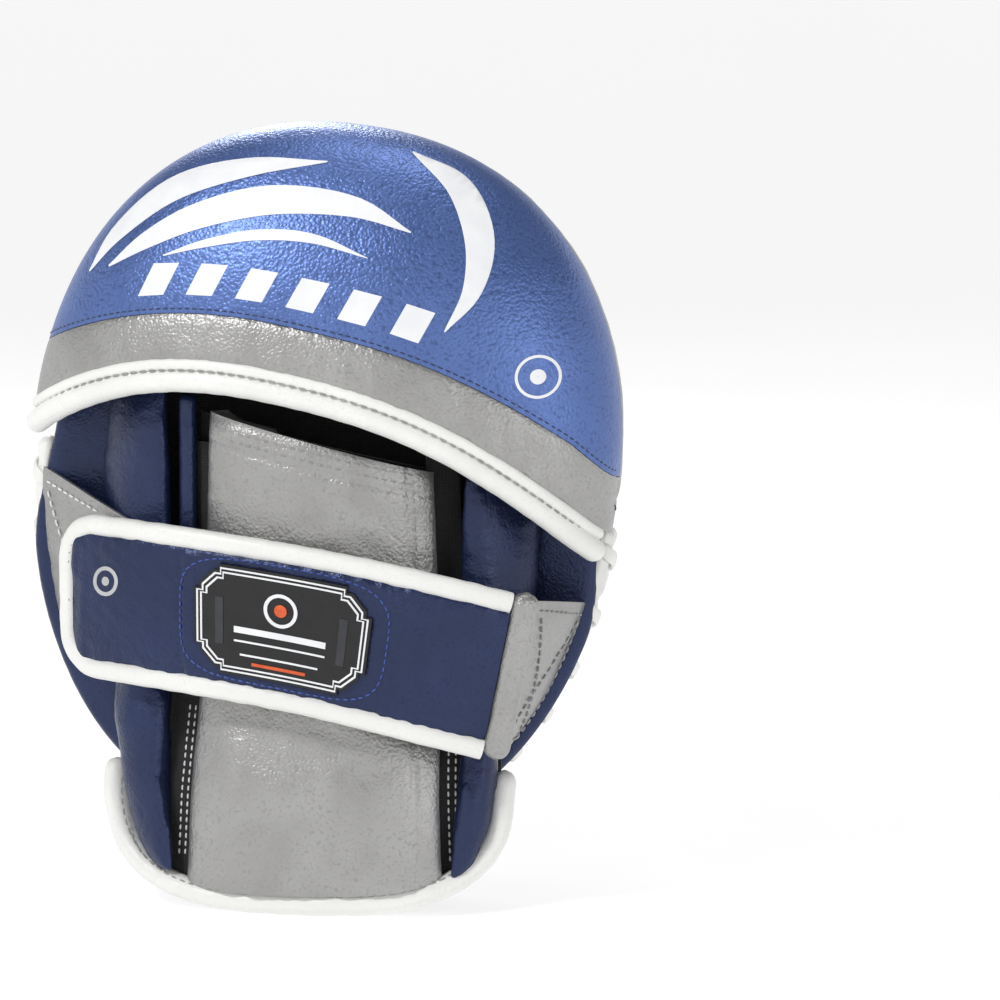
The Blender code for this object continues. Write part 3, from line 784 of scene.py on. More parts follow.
def build_sides():
    profiles = {
        "side_band_upper": (
            (9.5, 19.2), (8.0, 17.4), (5.6, 11.0), (3.6, 4.0), (2.0, -4.0), (1.4, -9.5), (2.6, -13.6)
        ),
        "side_band_lower": ((9.5, 19.2), (7.8, 17.6), (4.9, 12.5), (3.3, 7.0), (2.9, 2.0), (3.8, -3.4)),
    }
    for name, profile in profiles.items():
        rows = spline(profile, 101)
        start = 0.0 if name.endswith("upper") else math.pi
        lower = start > 0

        def place(u, v, rows=rows, start=start):
            inset, y = rows[int(round(v * 100))]
            x, z = egg(start + 0.003 + (math.pi - 0.006) * u, inset)
            return x, y, z

        def relief(u, v, point, lower=lower):
            run = u * 320.0
            lift = 0.9 * math.sin(math.pi * v) * (0.5 if lower else 1.0)
            lift += 0.55 * ripple(run, v * 30, 16.0, 5.0) * math.sin(math.pi * v)
            lift += 0.3 * math.exp(-v / 0.1) * ripple(run, v * 6.0, 2.2, 1.0)
            strength = 0.75 if lower else 0.4
            lift += (
                strength * math.exp(-(1 - v) / 0.34) * ripple(run, v * 7.0, 4.6, 3.0)
                * min(1.0, (1 - v) * 9 + 0.25)
            )
            ends = min(u, 1 - u) * 320.0
            return (
                lift * dome(ends, 5.0)
                + 0.35 * math.exp(-ends / 7.0) * ripple(v * 40, ends * 0.3, 3.2, 9.0)
            )

        band = skin(name + "_leather", place, 400, 25, 1.1, "silver", relief, body="mitt", replaces=(name,))
    rows = []
    for angle in (0.004, math.pi - 0.004):
        for shift in (0.018, -0.018):
            flat = [
                (*egg(angle + shift, inset), y) for inset, y in spline(profiles["side_band_upper"], 30)[3:-5]
            ]
            outward = normalised(np.array([(x - PAD_X, 0.0, (z - PAD_Z) * 0.1) for x, z, y in flat]))
            path = np.array([(x, y, z) for x, z, y in flat]) + outward * 0.3
            rows.append((path, outward))
    stitches("side_cross_stitches", rows, "thread_dark", "mitt", pitch=3.0, length=2.2, radius=0.28)
    edge = [egg(2 * math.pi * k / 400, FACE_INSET - 1.6) for k in range(401)]
    path = np.array([(x, 19.1, z) for x, z in edge])
    outward = normalised(np.array([(x - PAD_X, 60.0, z - PAD_Z) for x, z in edge]))
    stitches(
        "face_rim_stitches", [(path, outward)], "thread_white", "mitt", pitch=2.6, length=1.3, radius=0.26,
        lift=0.15
    )


def build_back():
    around = 360

    def last_inset(angle):
        lower = smoothstep(-math.sin(angle) * 3.0)
        return 5.6 * (1 - lower) - 1.0 * lower

    rings = []
    for share in np.concatenate((np.linspace(0.01, 0.9, 40), np.linspace(0.91, 1.0, 14))):
        ring = []
        for i in range(around):
            angle = -2 * math.pi * i / around
            rim = egg(angle, last_inset(angle))
            x, z = PAD_X + (rim[0] - PAD_X) * share, PAD_Z + (rim[1] - PAD_Z) * share
            from_rim = (1 - share) * 100.0
            y = (
                BACK_Y - 0.5 * dome(from_rim, 12.0) - 0.3 * ripple(x, z, 22.0)
                + 2.3 * (1 - dome(from_rim, 4.0))
            )
            y -= 0.3 * math.exp(-from_rim / 5.0) * ripple(angle * 90, from_rim * 0.3, 3.0)
            ring.append((x, y, z))
        rings.append(ring)
    rings.append([
        (*egg(-2 * math.pi * i / around, last_inset(-2 * math.pi * i / around) + 2.2),) for i in range(around)
    ])
    rings[-1] = [(x, -10.8, z) for x, z in rings[-1]]
    points, faces = ring_mesh(rings)
    make("pad_back_leather", points, faces, "blue_soft", body="mitt", replaces=("pad_back_cover",))


def rim_frame(angle, inset=0.0):
    """A point on the rim with its outward and onward directions."""
    x, z = egg(angle, inset)
    ahead = egg(angle + 0.001, inset)
    onward = normalised(np.array((ahead[0] - x, 0.0, ahead[1] - z)))
    return np.array((x, WELT_Y, z)), np.array((onward[2], 0.0, -onward[0])), onward


def build_lacing():
    """A white double welt, flat lace loops that pull it against the band at every eyelet, and near-black blobs
    of painted shade where each loop goes into its eyelet hole.
    """
    first, last = math.pi + 0.05, 2 * math.pi - 0.05
    frames = [rim_frame(first + (last - first) * k / 520, WELT_INSET) for k in range(521)]
    path = np.array([f[0] for f in frames])
    outward = np.array([f[1] for f in frames])
    total = float(np.sum(np.linalg.norm(np.diff(path, axis=0), axis=1)))
    pitch = total / LACE_TURNS

    def section(run, length):
        near = abs(((run / pitch) % 1.0) - 0.5) * pitch
        pinch = 1.0 - 0.26 * math.exp(-((near / 2.6) ** 2))
        ends = dome(min(run, length - run) + 0.05, 4.0)
        made = []
        for i in range(30):
            angle = 2 * math.pi * i / 30
            high = 3.1 * signed_power(math.cos(angle), 0.8)
            tall = 5.0 * signed_power(math.sin(angle), 0.85)
            if high > 0:
                high += 0.55 * math.cos(tall * 2.1) * min(1.0, high)
                high -= 0.9 * math.exp(-((tall / 0.8) ** 2))
            high += 0.25 * ripple(run, tall, 3.4, 6.0)
            made.append((high * ends * pinch, tall * ends * (0.5 + 0.5 * pinch)))
        return made

    roll("rim_welt_leather", path, outward, section, "white", body="mitt", replaces=("rim_welt",))
    points, faces, start = [], [], 0
    holes = []
    for k in range(LACE_TURNS):
        share = (k + 0.5) / LACE_TURNS
        centre, out, onward = rim_frame(first + (last - first) * share, WELT_INSET)
        loop = []
        for degrees in np.linspace(-112, 112, 25):
            angle = math.radians(degrees)
            reach = 3.9 * math.cos(angle) if abs(degrees) < 90 else 7.0 * math.cos(angle)
            slide = onward * (-4.4 * degrees / 112 + 0.5 * ripple(k * 3.1, degrees / 40, 1.0))
            loop.append(centre + out * (reach + 0.25) + np.array((0, 4.8 * math.sin(angle), 0)) + slide)
        loop = np.array(loop)
        middle = centre - out * 1.0
        direction = normalised(
            loop - middle - onward * np.sum((loop - middle) * onward, axis=1, keepdims=True)
        )
        width = roll_section(0.75, 2.3 + 0.25 * ripple(k * 1.7, 0.3, 1.0), 0.16, 3.0, True, 14, k * 0.7, 0.8)
        more, quads = ring_mesh(sweep_rings(loop, direction, width), start)
        points.append(more)
        faces += quads
        start += len(more)
        holes.append((loop[-1] - out * 0.2, out, onward))
    make("rim_lace_loops", np.vstack(points), faces, "white", body="mitt", replaces=("rim_lace",))
    # Near-black blobs at each loop's end: painted shade inside the eyelet holes, not parts of their own.
    points, faces, start = [], [], 0
    for centre, out, onward in holes:
        upward = np.cross(out, onward)
        ring = [math.tau * i / 14 for i in range(14)]
        rings = []
        for height, size in ((-1.2, 1.2), (1.1, 1.5), (1.3, 1.2)):
            rings.append([centre + out * height + size * (
                onward * math.cos(a) * 1.2 + upward * math.sin(a)
            ) for a in ring])
        more, quads = ring_mesh(rings, start)
        points.append(more)
        faces += quads
        start += len(more)
    make("rim_eyelet_shade", np.vstack(points), faces, "eyelet_shade", body="mitt")


# ---------------------------------------------------------------- the hood


def hood_out(x, z):
    """The hood's finished outer skin."""
    base = hood_y(x, z)
    calm = min(1.0, (HOOD_BASE_Y - base) / 12.0)
    from_seam = max(0.0, z - line_z(x, BAND_WIDTH))
    swell = 0.5 * dome(from_seam, 7.0) + 0.45 * ripple(x, z, 36.0) + 0.12 * ripple(x, z, 10.0, 3.0)
    pucker = 0.3 * math.exp(-from_seam / 2.5) * ripple(x, from_seam * 0.4, 2.4, 5.0)
    return base - (swell + pucker) * calm


def band_out(x, z):
    """The silver band between the hood's seam and its bound mouth, gathered at the binding."""
    up = min(1.0, max(0.0, (z - line_z(x, BAND_FOOT)) / (line_z(x, BAND_WIDTH) - line_z(x, BAND_FOOT))))
    crown = 0.75 * dome(min(up, 1 - up) * 14.0, 5.0)
    bias = 0.45 + 0.55 * smoothstep((x + 40.0) / 80.0)
    gather = bias * 0.95 * math.exp(-up / 0.42) * ripple(x, up * 2.0, 3.4, 8.0)
    crease = 0.5 * bias * math.exp(-up / 0.8) * ripple(x + 9 * up, up * 3.0, 6.5, 2.0)
    upper = 0.2 * math.exp(-(1 - up) / 0.18) * ripple(x, up, 2.4, 3.0)
    return hood_y(x, z) - crown - gather - crease - upper


def build_hood():
    left, right = rim_angles(BAND_WIDTH + 0.2, 0.0)
    low_line = hood_line(BAND_WIDTH + 0.2)

    def shell(u, v):
        low_x, low_z = low_line(u)
        rim_x, rim_z = egg(left + (right - left) * u)
        share = math.sin(v * math.pi / 2)
        x, z = low_x + (rim_x - low_x) * share, low_z + (rim_z - low_z) * share
        return x, hood_out(x, z), z

    hood = skin("hood_shell_leather", shell, 230, 120, 1.2, "blue", body="mitt", replaces=("hood_shell",))
    foot, head = hood_line(BAND_FOOT), hood_line(BAND_WIDTH)

    def band(u, v):
        (low_x, low_z), (high_x, high_z) = foot(u), head(u)
        x, z = low_x + (high_x - low_x) * v, low_z + (high_z - low_z) * v
        return x, band_out(x, z), z

    piece = skin("hood_band_leather", band, 420, 26, 1.2, "silver", body="mitt", replaces=("hood_band",))
    seam = [hood_line(BAND_WIDTH + 1.6)(0.03 + 0.94 * k / 200) for k in range(201)]
    stitches(
        "hood_seam_stitches", [on_surface(hood_out, seam)], "thread_dark", "mitt", pitch=2.6, length=1.8,
        radius=0.24
    )
    for name, node, above, high, wide, depth in (
        ("mouth_binding_roll", "mouth_binding", 3.7, 3.9, 3.9, 3.2),
        ("mouth_welt_roll", "mouth_welt", 8.9, 1.7, 1.9, 0.7),
    ):
        line = hood_line(above, 2.0)
        flat = [line(0.012 + 0.976 * k / 300) for k in range(301)]
        path, outward = on_surface(hood_y, flat)
        path[:, 1] += depth
        section = roll_section(high, wide, 0.05, 4.5, True, 22, above)
        roll(name, path, outward, section, "white", body="mitt", replaces=(node,))
    line = hood_line(7.1, 2.0)
    path, outward = on_surface(hood_y, [line(0.03 + 0.94 * k / 200) for k in range(201)], -0.15)
    stitches(
        "mouth_binding_stitches", [(path, outward)], "thread_grey", "mitt", pitch=3.4, length=2.4, radius=0.32
    )
    build_hood_lining()
    build_prints()


def build_hood_lining():
    start, end = rim_angles(BAND_FOOT, 5.8)
    foot = hood_line(BAND_FOOT, 5.8)

    def place(u, v):
        low_x, low_z = foot(u)
        rim_x, rim_z = egg(start + (end - start) * u, 5.8)
        share = math.sin(v * math.pi / 2)
        x, z = low_x + (rim_x - low_x) * share, low_z + (rim_z - low_z) * share
        return x, hood_y(x, z, 5.8), z

    def relief(u, v, point):
        return -0.5 - 0.6 * abs(ripple(point[0], point[2] * 0.5, 9.0, 2.0))

    skin("hood_lining_cloth", place, 110, 50, 0.8, "black", relief, body="mitt", replaces=("hood_lining",))


def build_prints():
    """A plain printed pattern on the hood: sweeping strokes, a row of slanted bars and a small ring."""

    def on_hood(a, b, height):
        rise, climb = (hood_out(a + 0.5, b) - hood_out(a - 0.5, b)), (
            hood_out(a, b + 0.5) - hood_out(a, b - 0.5)
        )
        return a, hood_out(a, b) - height * min(4.0, math.sqrt(1 + rise * rise + climb * climb)), b

    sweeps = [
        stroke([(-72, 207), (-62, 220), (-43, 234), (-18, 241), (8, 243)], [0.3, 2.8, 4.0, 3.0, 0.2]),
        stroke(
            [(-64, 209), (-50, 218), (-32, 226), (-8, 231), (18, 229), (37, 221)],
            [0.3, 2.8, 4.2, 4.6, 3.2, 0.2]
        ),
        stroke([(-44, 213), (-30, 217), (-12, 220), (6, 219), (24, 213)], [0.2, 1.2, 1.7, 1.5, 0.1]),
        stroke([(34, 246), (50, 235), (58, 219), (57, 203), (49, 190)], [0.2, 3.4, 4.4, 3.0, 0.2]),
    ]
    bars = []
    for k in range(6):
        x = -52.0 + 16.8 * k
        foot = [line_z(x + shift, BAND_WIDTH + 6.0) for shift in (0.0, 9.0)]
        head = [line_z(x + shift, BAND_WIDTH + 16.0) for shift in (14.0, 5.0)]
        bars.append([(x, foot[0]), (x + 9.0, foot[1]), (x + 14.0, head[0]), (x + 5.0, head[1])])
    plate("hood_print_sweeps", sum(sweeps, []), on_hood, -0.3, 0.2, "print_white", "mitt", step=2.5)
    plate("hood_print_bars", bars, on_hood, -0.3, 0.13, "print_white", "mitt", step=2.5)
    centre = (77.5, 175.5)
    ring = ring_arc(centre, 6.0, 6.9, 0, 360, 48) + ring_arc(centre, 0.1, 2.4, 0, 360, 24)
    plate("hood_print_ring", ring, on_hood, -0.3, 0.13, "print_white", "mitt", step=2.5)


# ---------------------------------------------------------------- hand panel and cuff


def flexes(item):
    """Bakes the piece's transform into its mesh."""
    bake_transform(item)
    return item


def split_high(x):
    return 154.0 - 0.232 * x


def column_edges(z):
    """Left and right edge of the silver column at a height."""
    heights = (6.0, 40.0, 74.0, 115.0, 160.0)
    return np.interp(z, heights, (-38.5, -36.5, -34.5, -32.0, -30.5)), np.interp(
        z, heights, (46.0, 45.0, 44.0, 43.0, 41.5)
    )


def column_out(x, z):
    """The padded silver column: crowned, rounded off at its sides, creased, and gathered at the binding."""
    left, right = column_edges(z)
    from_side = min(x - left, right - x)
    up = z - cuff_floor(x) - CUFF_RADIUS
    puff = 4.0 * dome(from_side, 17.0) - 3.4
    puff += 1.1 * ripple(x * 0.8, z, 24.0, 4.0) + 0.4 * ripple(x + z * 0.4, z, 9.0, 1.0)
    puff += 1.1 * math.exp(-up / 10.0) * ripple(x, up * 0.25, 5.0, 7.0)
    puff += 0.3 * math.exp(-from_side / 4.0) * ripple(z, from_side * 0.3, 4.0, 2.0)
    hem = split_high(x) - z
    puff -= 1.3 * (1 - dome(hem, 9.0)) + 0.5 * math.exp(-(((hem - 8.5) / 1.0) ** 2))
    seam = 0.6 * math.exp(-(((right - x - 7.0) / 1.0) ** 2))
    return panel_y(x, z) - puff + seam


def build_column():
    def place(u, v):
        guess = -37.0 + 82.0 * u
        low, high = cuff_floor(guess) + CUFF_RADIUS - 0.6, split_high(guess)
        z = low + (high - low) * v
        left, right = column_edges(z)
        x = left + (right - left) * u
        return x, column_out(x, z), z

    column = skin(
        "silver_column_leather", place, 110, 190, 6.0, "silver", replaces=("hand_panel_center", "cuff_center")
    )
    flexes(column)
    rows = []
    for inset in (2.6, 5.6):
        line = [(x, split_high(x) - inset) for x in np.linspace(-28.5, 39.5, 90)]
        rows.append(on_surface(column_out, line))
        side = [(column_edges(z)[1] - inset, z) for z in np.linspace(142.0, 94.0, 60)]
        rows.append(on_surface(column_out, side))
    stitches("column_top_stitches", rows, "thread_grey", "mitt", pitch=3.0, length=2.0, radius=0.32)
    for name, side in (("left", 0), ("right", 1)):
        build_gusset(name, side)
    build_liners()


def build_gusset(name, side):
    """Black cloth beside the column, with two rows of light stitches along it."""

    def gusset_out(x, z):
        return panel_y(x, z) + 7.0 + 0.4 * ripple(x, z, 7.0, side)

    def place(u, v):
        low, high = cuff_floor(-40.0 if side == 0 else 46.0) + 3.0, split_high(0.0) - 2.0
        z = low + (high - low) * v
        edge = column_edges(z)[side]
        x = edge - 9.5 + 12.0 * u if side == 0 else edge - 2.5 + 9.5 * u
        return x, gusset_out(x, z), z

    nodes = (f"hand_panel_gusset_{name}", f"cuff_gusset_{name}")
    flexes(skin(f"gusset_{name}_cloth", place, 14, 90, 1.0, "black", replaces=nodes))
    rows = []
    for inset in (2.0, 4.2):
        heights = np.linspace(cuff_floor(-40.0) + 10.0, 66.0, 30)
        edge = [(column_edges(z)[side] + (-inset if side == 0 else inset), z) for z in heights]
        rows.append(on_surface(gusset_out, edge))
    item = stitches(f"gusset_{name}_stitches", rows, "thread_white", None, pitch=2.6, length=1.7, radius=0.32)
    flexes(item)


def build_liners():
    def liner(u, v):
        x = -36.0 + 78.0 * u
        low, high = cuff_floor(x) + CUFF_RADIUS + 2.0, split_high(x) - 1.0
        z = low + (high - low) * v
        return x, panel_y(x, z) + 11.6 + 0.3 * ripple(x, z, 8.0, 6.0), z

    def pocket(u, v):
        x, z = -58.0 + 118.0 * u, 40.0 + 172.0 * v
        return x, BACK_Y - 1.5 - 0.3 * ripple(x, z, 12.0, 5.0), z

    skin("pocket_lining_cloth", pocket, 50, 70, 0.6, "black", body="mitt")
    nodes = ("hand_panel_lining", "cuff_lining")
    flexes(skin("hand_panel_lining_cloth", liner, 40, 90, 0.9, "black", replaces=nodes))

    def label(u, v):
        x, z = 8.0 + 22.0 * u, 18.0 + 24.0 * v
        return x, panel_y(x, z) + 13.2 + 0.5 * math.sin(3.0 * u + 1.0), z

    skin("care_label_cloth", label, 16, 16, 0.35, "label", body="cuff", replaces=("cuff_care_label",))

    def grip(u, v):
        angle, tilt = 2 * math.pi * u, v * math.pi / 2
        return math.cos(tilt) * math.cos(angle), math.sin(tilt), math.cos(tilt) * math.sin(angle)

    rings = []
    for v in np.linspace(0.0, 0.98, 22):
        ring = []
        for u in np.arange(72) / 72.0:
            x, y, z = grip(u, v)
            puff = 1.0 + 0.03 * ripple(30 * x, 17 * z, 6.0, 2.0)
            ring.append((2.0 + 30.0 * x * puff, BACK_Y - 0.4 - 9.0 * y * puff, 103.0 + 17.0 * z * puff))
        rings.append(ring)
    points, faces = ring_mesh(rings)
    made = make("palm_grip_cloth", points, faces, "black", body="mitt", replaces=("palm_grip",))


VOXEL = 3.2  # grid of the remeshed bolsters, in mm
INFLATE_CAP = 3.4
CLOTH_PRESSURE = 4.0
CLOTH_STIFFNESS = 12.0
CLOTH_STEPS = 20
BOLSTERS = {
    "left": (
        ((-66, -19), (-46, -37), 4.6, 180),
        ((-72, -17.5), (-44, -44), 6.3, 160),
        ((-73, -17.5), (-43, -45), 7.0, 128),
        ((-72, -18), (-43, -46), 7.0, 96),
        ((-68, -22), (-43, -46.5), 6.4, 78),
        ((-66, -29), (-43, -49), 6.3, 60),
        ((-63.5, -33), (-43, -50), 6.2, 42),
        ((-60.5, -36), (-42.5, -51), 5.6, 28),
        ((-55.5, -39), (-42, -51.5), 4.6, 17),
        ((-48.5, -43.5), (-41.5, -51.5), 2.6, 10.5),
    ),
    "right": (
        ((68, -19), (54, -36), 4.6, 156),
        ((74, -17.5), (51, -42), 6.3, 138),
        ((74, -17.5), (50, -43), 7.0, 110),
        ((69, -19.5), (51, -44), 6.5, 80),
        ((62, -24.5), (51, -45), 5.5, 62),
        ((62.5, -30), (50.5, -46.5), 5.8, 48),
        ((61.5, -33), (50, -48.5), 6.0, 36),
        ((59.5, -36), (49.5, -49.5), 5.6, 25),
        ((55.0, -40), (48.0, -50.5), 4.2, 15),
        ((49.0, -45), (46.5, -50.5), 2.2, 10.5),
    ),
}
SLACK = 1.3  # how much smaller a bolster is before it is blown up


def build_bolster(name):
    rows = [(*edge, *inner, thick, z) for edge, inner, thick, z in BOLSTERS[name]]
    around = 36
    rings = []
    for ex, ey, ix, iy, thick, z in spline(rows, 110):
        centre = np.array(((ex + ix) / 2, (ey + iy) / 2))
        along = np.array(((ix - ex) / 2, (iy - ey) / 2))
        half = np.linalg.norm(along)
        along = along / half * (half - SLACK)
        across = np.array((-along[1], along[0])) / np.linalg.norm(along) * (thick - SLACK)
        ring = []
        for i in range(around):
            angle = 2 * math.pi * i / around
            spot = centre + along * math.cos(angle) + across * math.sin(angle)
            ring.append((spot[0], spot[1], z))
        rings.append(ring)
    points, faces = ring_mesh(rings)
    nodes = (f"hand_panel_bolster_{name}", f"cuff_bolster_{name}")
    item = make(f"bolster_{name}_leather", points, faces, "blue_soft", replaces=nodes)
    inflate(item, cap=INFLATE_CAP)
    crease(item)
    flexes(item)


def inflate(item, cap):
    """Blows a sewn form up with the cloth solver, no point moving further than cap mm."""
    remesh = item.modifiers.new("remesh", "REMESH")
    remesh.mode = "VOXEL"
    remesh.voxel_size = VOXEL * MM
    freeze(item)
    rest = read_points(item)
    cloth_solver = item.modifiers.new("cloth", "CLOTH")
    settings = cloth_solver.settings
    settings.quality = 6
    settings.mass = 0.3
    settings.tension_stiffness = settings.compression_stiffness = CLOTH_STIFFNESS
    settings.bending_stiffness = 0.6
    settings.use_pressure = True
    settings.uniform_pressure_force = CLOTH_PRESSURE
    settings.effector_weights.gravity = 0.0
    cloth_solver.point_cache.frame_start = 1
    cloth_solver.point_cache.frame_end = CLOTH_STEPS
    for step in range(1, CLOTH_STEPS + 1):
        bpy.context.scene.frame_set(step)
    freeze(item)
    bpy.context.scene.frame_set(1)
    moved = read_points(item)
    if len(moved) == len(rest):
        shift = moved - rest
        shift -= shift.mean(axis=0)
        length = np.maximum(np.linalg.norm(shift, axis=1, keepdims=True), 1e-9)
        write_points(item, rest + shift * np.minimum(1.0, cap * MM / length))
    subdivide = item.modifiers.new("smooth", "SUBSURF")
    subdivide.levels = subdivide.render_levels = 2
    freeze(item)


def freeze(item):
    """Applies the modifiers."""
    evaluated = item.evaluated_get(bpy.context.evaluated_depsgraph_get())
    mesh = bpy.data.meshes.new_from_object(evaluated)
    item.modifiers.clear()
    item.data = mesh
    mesh.shade_smooth()


def read_points(item):
    points = np.zeros(len(item.data.vertices) * 3)
    item.data.vertices.foreach_get("co", points)
    return points.reshape(-1, 3)


def write_points(item, points):
    item.data.vertices.foreach_set("co", np.asarray(points, np.float32).ravel())
    item.data.update()


def crease(item):
    """Soft creases across a roll."""
    points = read_points(item)
    normals = np.zeros(len(points) * 3)
    item.data.vertices.foreach_get("normal", normals)
    normals = normals.reshape(-1, 3)
    lift = [
        0.45 * ripple(p[0] / MM, p[2] / MM * 1.6, 15.0, 3.0) + 0.16 * ripple(
            p[0] / MM, p[2] / MM * 2.0, 5.0, 8.0
        )
        for p in points
    ]
    write_points(item, points + normals * np.array(lift)[:, None] * MM)


def build_inner_roll():
    line = [(-38.6, z) for z in np.linspace(168.0, 88.0, 120)]
    path, outward = on_surface(panel_y, line, -0.5)
    path[:, 1] += 4.5
    section = roll_section(2.9, 2.9, 0.05, 6.0, True, 18, 2.0)
    roll(
        "inner_roll_leather", path, outward, section, "blue_soft", body="mitt",
        replaces=("hand_panel_roll_left",)
    )


def build_cuff_binding():
    flat = even([cuff_edge(math.pi * (1 + k / 400)) for k in range(401)], 0.9)
    path, outward = on_surface(panel_y, [tuple(p) for p in flat])
    path[:, 1] += 4.4
    section = roll_section(4.5, CUFF_RADIUS, 0.07, 6.0, True, 26, 1.0)
    roll("cuff_binding_roll", path, outward, section, "white", body="cuff", replaces=("cuff_binding",))
    inner = []
    for x, z in flat:
        lean = np.array((x + 1.0, z - CUFF_TOP_Z - 6.0))
        lean = lean / np.linalg.norm(lean)
        inner.append((x - 3.0 * lean[0], z - 3.0 * lean[1]))
    path, outward = on_surface(panel_y, inner[6:-6])
    path[:, 1] += 1.4
    stitches(
        "cuff_binding_stitches", [(path, outward)], "thread_grey", "cuff", pitch=3.4, length=2.4, radius=0.32
    )


# ---------------------------------------------------------------- the strap


def strap_out(x, across, height):
    """The strap's leather, height mm above it: gathered at its binding, sunk round the badge."""
    edge = STRAP_HALF - 2 * STRAP_BINDING
    from_edge = max(0.0, min(edge - abs(across), x - STRAP_LEFT_X - 2 * STRAP_BINDING))
    lift = (
        1.1 * dome(from_edge, 6.0) + 0.5 * ripple(x, across, 15.0, 5.0)
        + 0.2 * ripple(x + across, across, 6.0, 1.0)
    )
    lift += 0.75 * math.exp(-from_edge / 4.5) * ripple(x, across * 0.35, 3.6, 2.0)
    side, rise = abs(x - BADGE_X) - BADGE_HALF_WIDTH, abs(across) - BADGE_HALF_HEIGHT
    from_badge = math.hypot(max(0.0, side), max(0.0, rise)) + min(0.0, max(side, rise))
    lift += 0.55 * dome(from_badge, 3.5) * math.exp(-max(0.0, from_badge) / 8.0)
    lift -= 0.5 * math.exp(-(((from_badge - 5.5) / 1.1) ** 2))
    lift += 0.3 * math.exp(-abs(from_badge - 5.5) / 2.5) * ripple(x, across, 2.2, 9.0)
    return strap_point(x, across, -lift - height + 0.6)


def strap_outward(points):
    made = [np.array(strap_point(x, a, -1.0)) - np.array(strap_point(x, a, 0.0)) for x, a in points]
    return normalised(np.array(made))


def strap_path(margin, count=260):
    """Positions (x, across) along the bound edge, margin mm inside it, right end first."""
    middle = STRAP_HALF - margin
    corner = STRAP_CORNER - margin
    tip = STRAP_LEFT_X + margin
    path = [(STRAP_RIGHT_X - (STRAP_RIGHT_X - tip - corner) * k / 60, middle) for k in range(60)]
    for k in range(25):
        turn = math.pi / 2 * k / 24
        path.append((tip + corner * (1 - math.sin(turn)), middle - corner * (1 - math.cos(turn))))
    path += [(x, -across) for x, across in reversed(path)]
    return even(path, (2 * (STRAP_RIGHT_X - tip) + 2 * middle) / count)


def badge_outline(margin):
    """An eight-sided plaque with a stepped notch at each corner."""
    wide, high = BADGE_HALF_WIDTH - margin, BADGE_HALF_HEIGHT - margin
    cut, notch = 8.4 - 0.4 * margin, 1.9
    corner = [
        (wide, high - cut),
        (wide - notch, high - cut),
        (wide - notch, high - cut + notch),
        (wide - cut + notch, high - notch),
        (wide - cut, high - notch),
        (wide - cut, high),
    ]
    quarters = [(1, 1, False), (-1, 1, True), (-1, -1, False), (1, -1, True)]
    outline = []
    for across, up, backwards in quarters:
        part = [(a * across, b * up) for a, b in corner]
        outline += part[::-1] if backwards else part
    return outline


def build_strap():
    left = STRAP_LEFT_X + 2 * STRAP_BINDING - 1.4
    half = STRAP_HALF - 2 * STRAP_BINDING + 1.0

    def leather_skin(u, v):
        x = left + (STRAP_RIGHT_X - left) * (1 - math.cos(u * math.pi / 2))
        return strap_out(x, strap_half(x, half, 10.5, left) * (2 * v - 1), 0.0)

    item = skin(
        "strap_leather_skin", leather_skin, 330, 84, 2.4, "blue_soft", body="strap",
        replaces=("strap_leather",)
    )

    def lining(u, v):
        x = left + 1.5 + (STRAP_RIGHT_X - left - 1.5) * (1 - math.cos(u * math.pi / 2))
        return strap_point(x, strap_half(x, half - 1.5, 9.0, left + 1.5) * (2 * v - 1), 3.4)

    skin("strap_lining_cloth", lining, 80, 16, 0.7, "black", body="strap", replaces=("strap_lining",))
    flat = strap_path(STRAP_BINDING)
    path = np.array([strap_point(x, across, 1.9) for x, across in flat])
    section = roll_section(3.0, 3.4, 0.07, 5.0, False, 22, 3.0, 0.9)
    roll(
        "strap_binding_roll", path, strap_outward(flat), section, "white", body="strap",
        replaces=("strap_binding",)
    )
    inner = strap_path(2 * STRAP_BINDING - 1.1)[3:-3]
    path = np.array([strap_point(x, across, 0.0) for x, across in inner])
    stitches(
        "strap_binding_stitches", [(path, strap_outward(inner))], "thread_grey", "strap", pitch=3.1,
        length=2.2, radius=0.32
    )

    def hooks(u, v):
        return strap_point(-74.0 + 32.0 * u, 15.0 * (2 * v - 1), 4.4)

    skin("strap_hook_tape", hooks, 26, 24, 0.7, "hooks", body="strap", replaces=("strap_hook_patch",))
    build_badge()


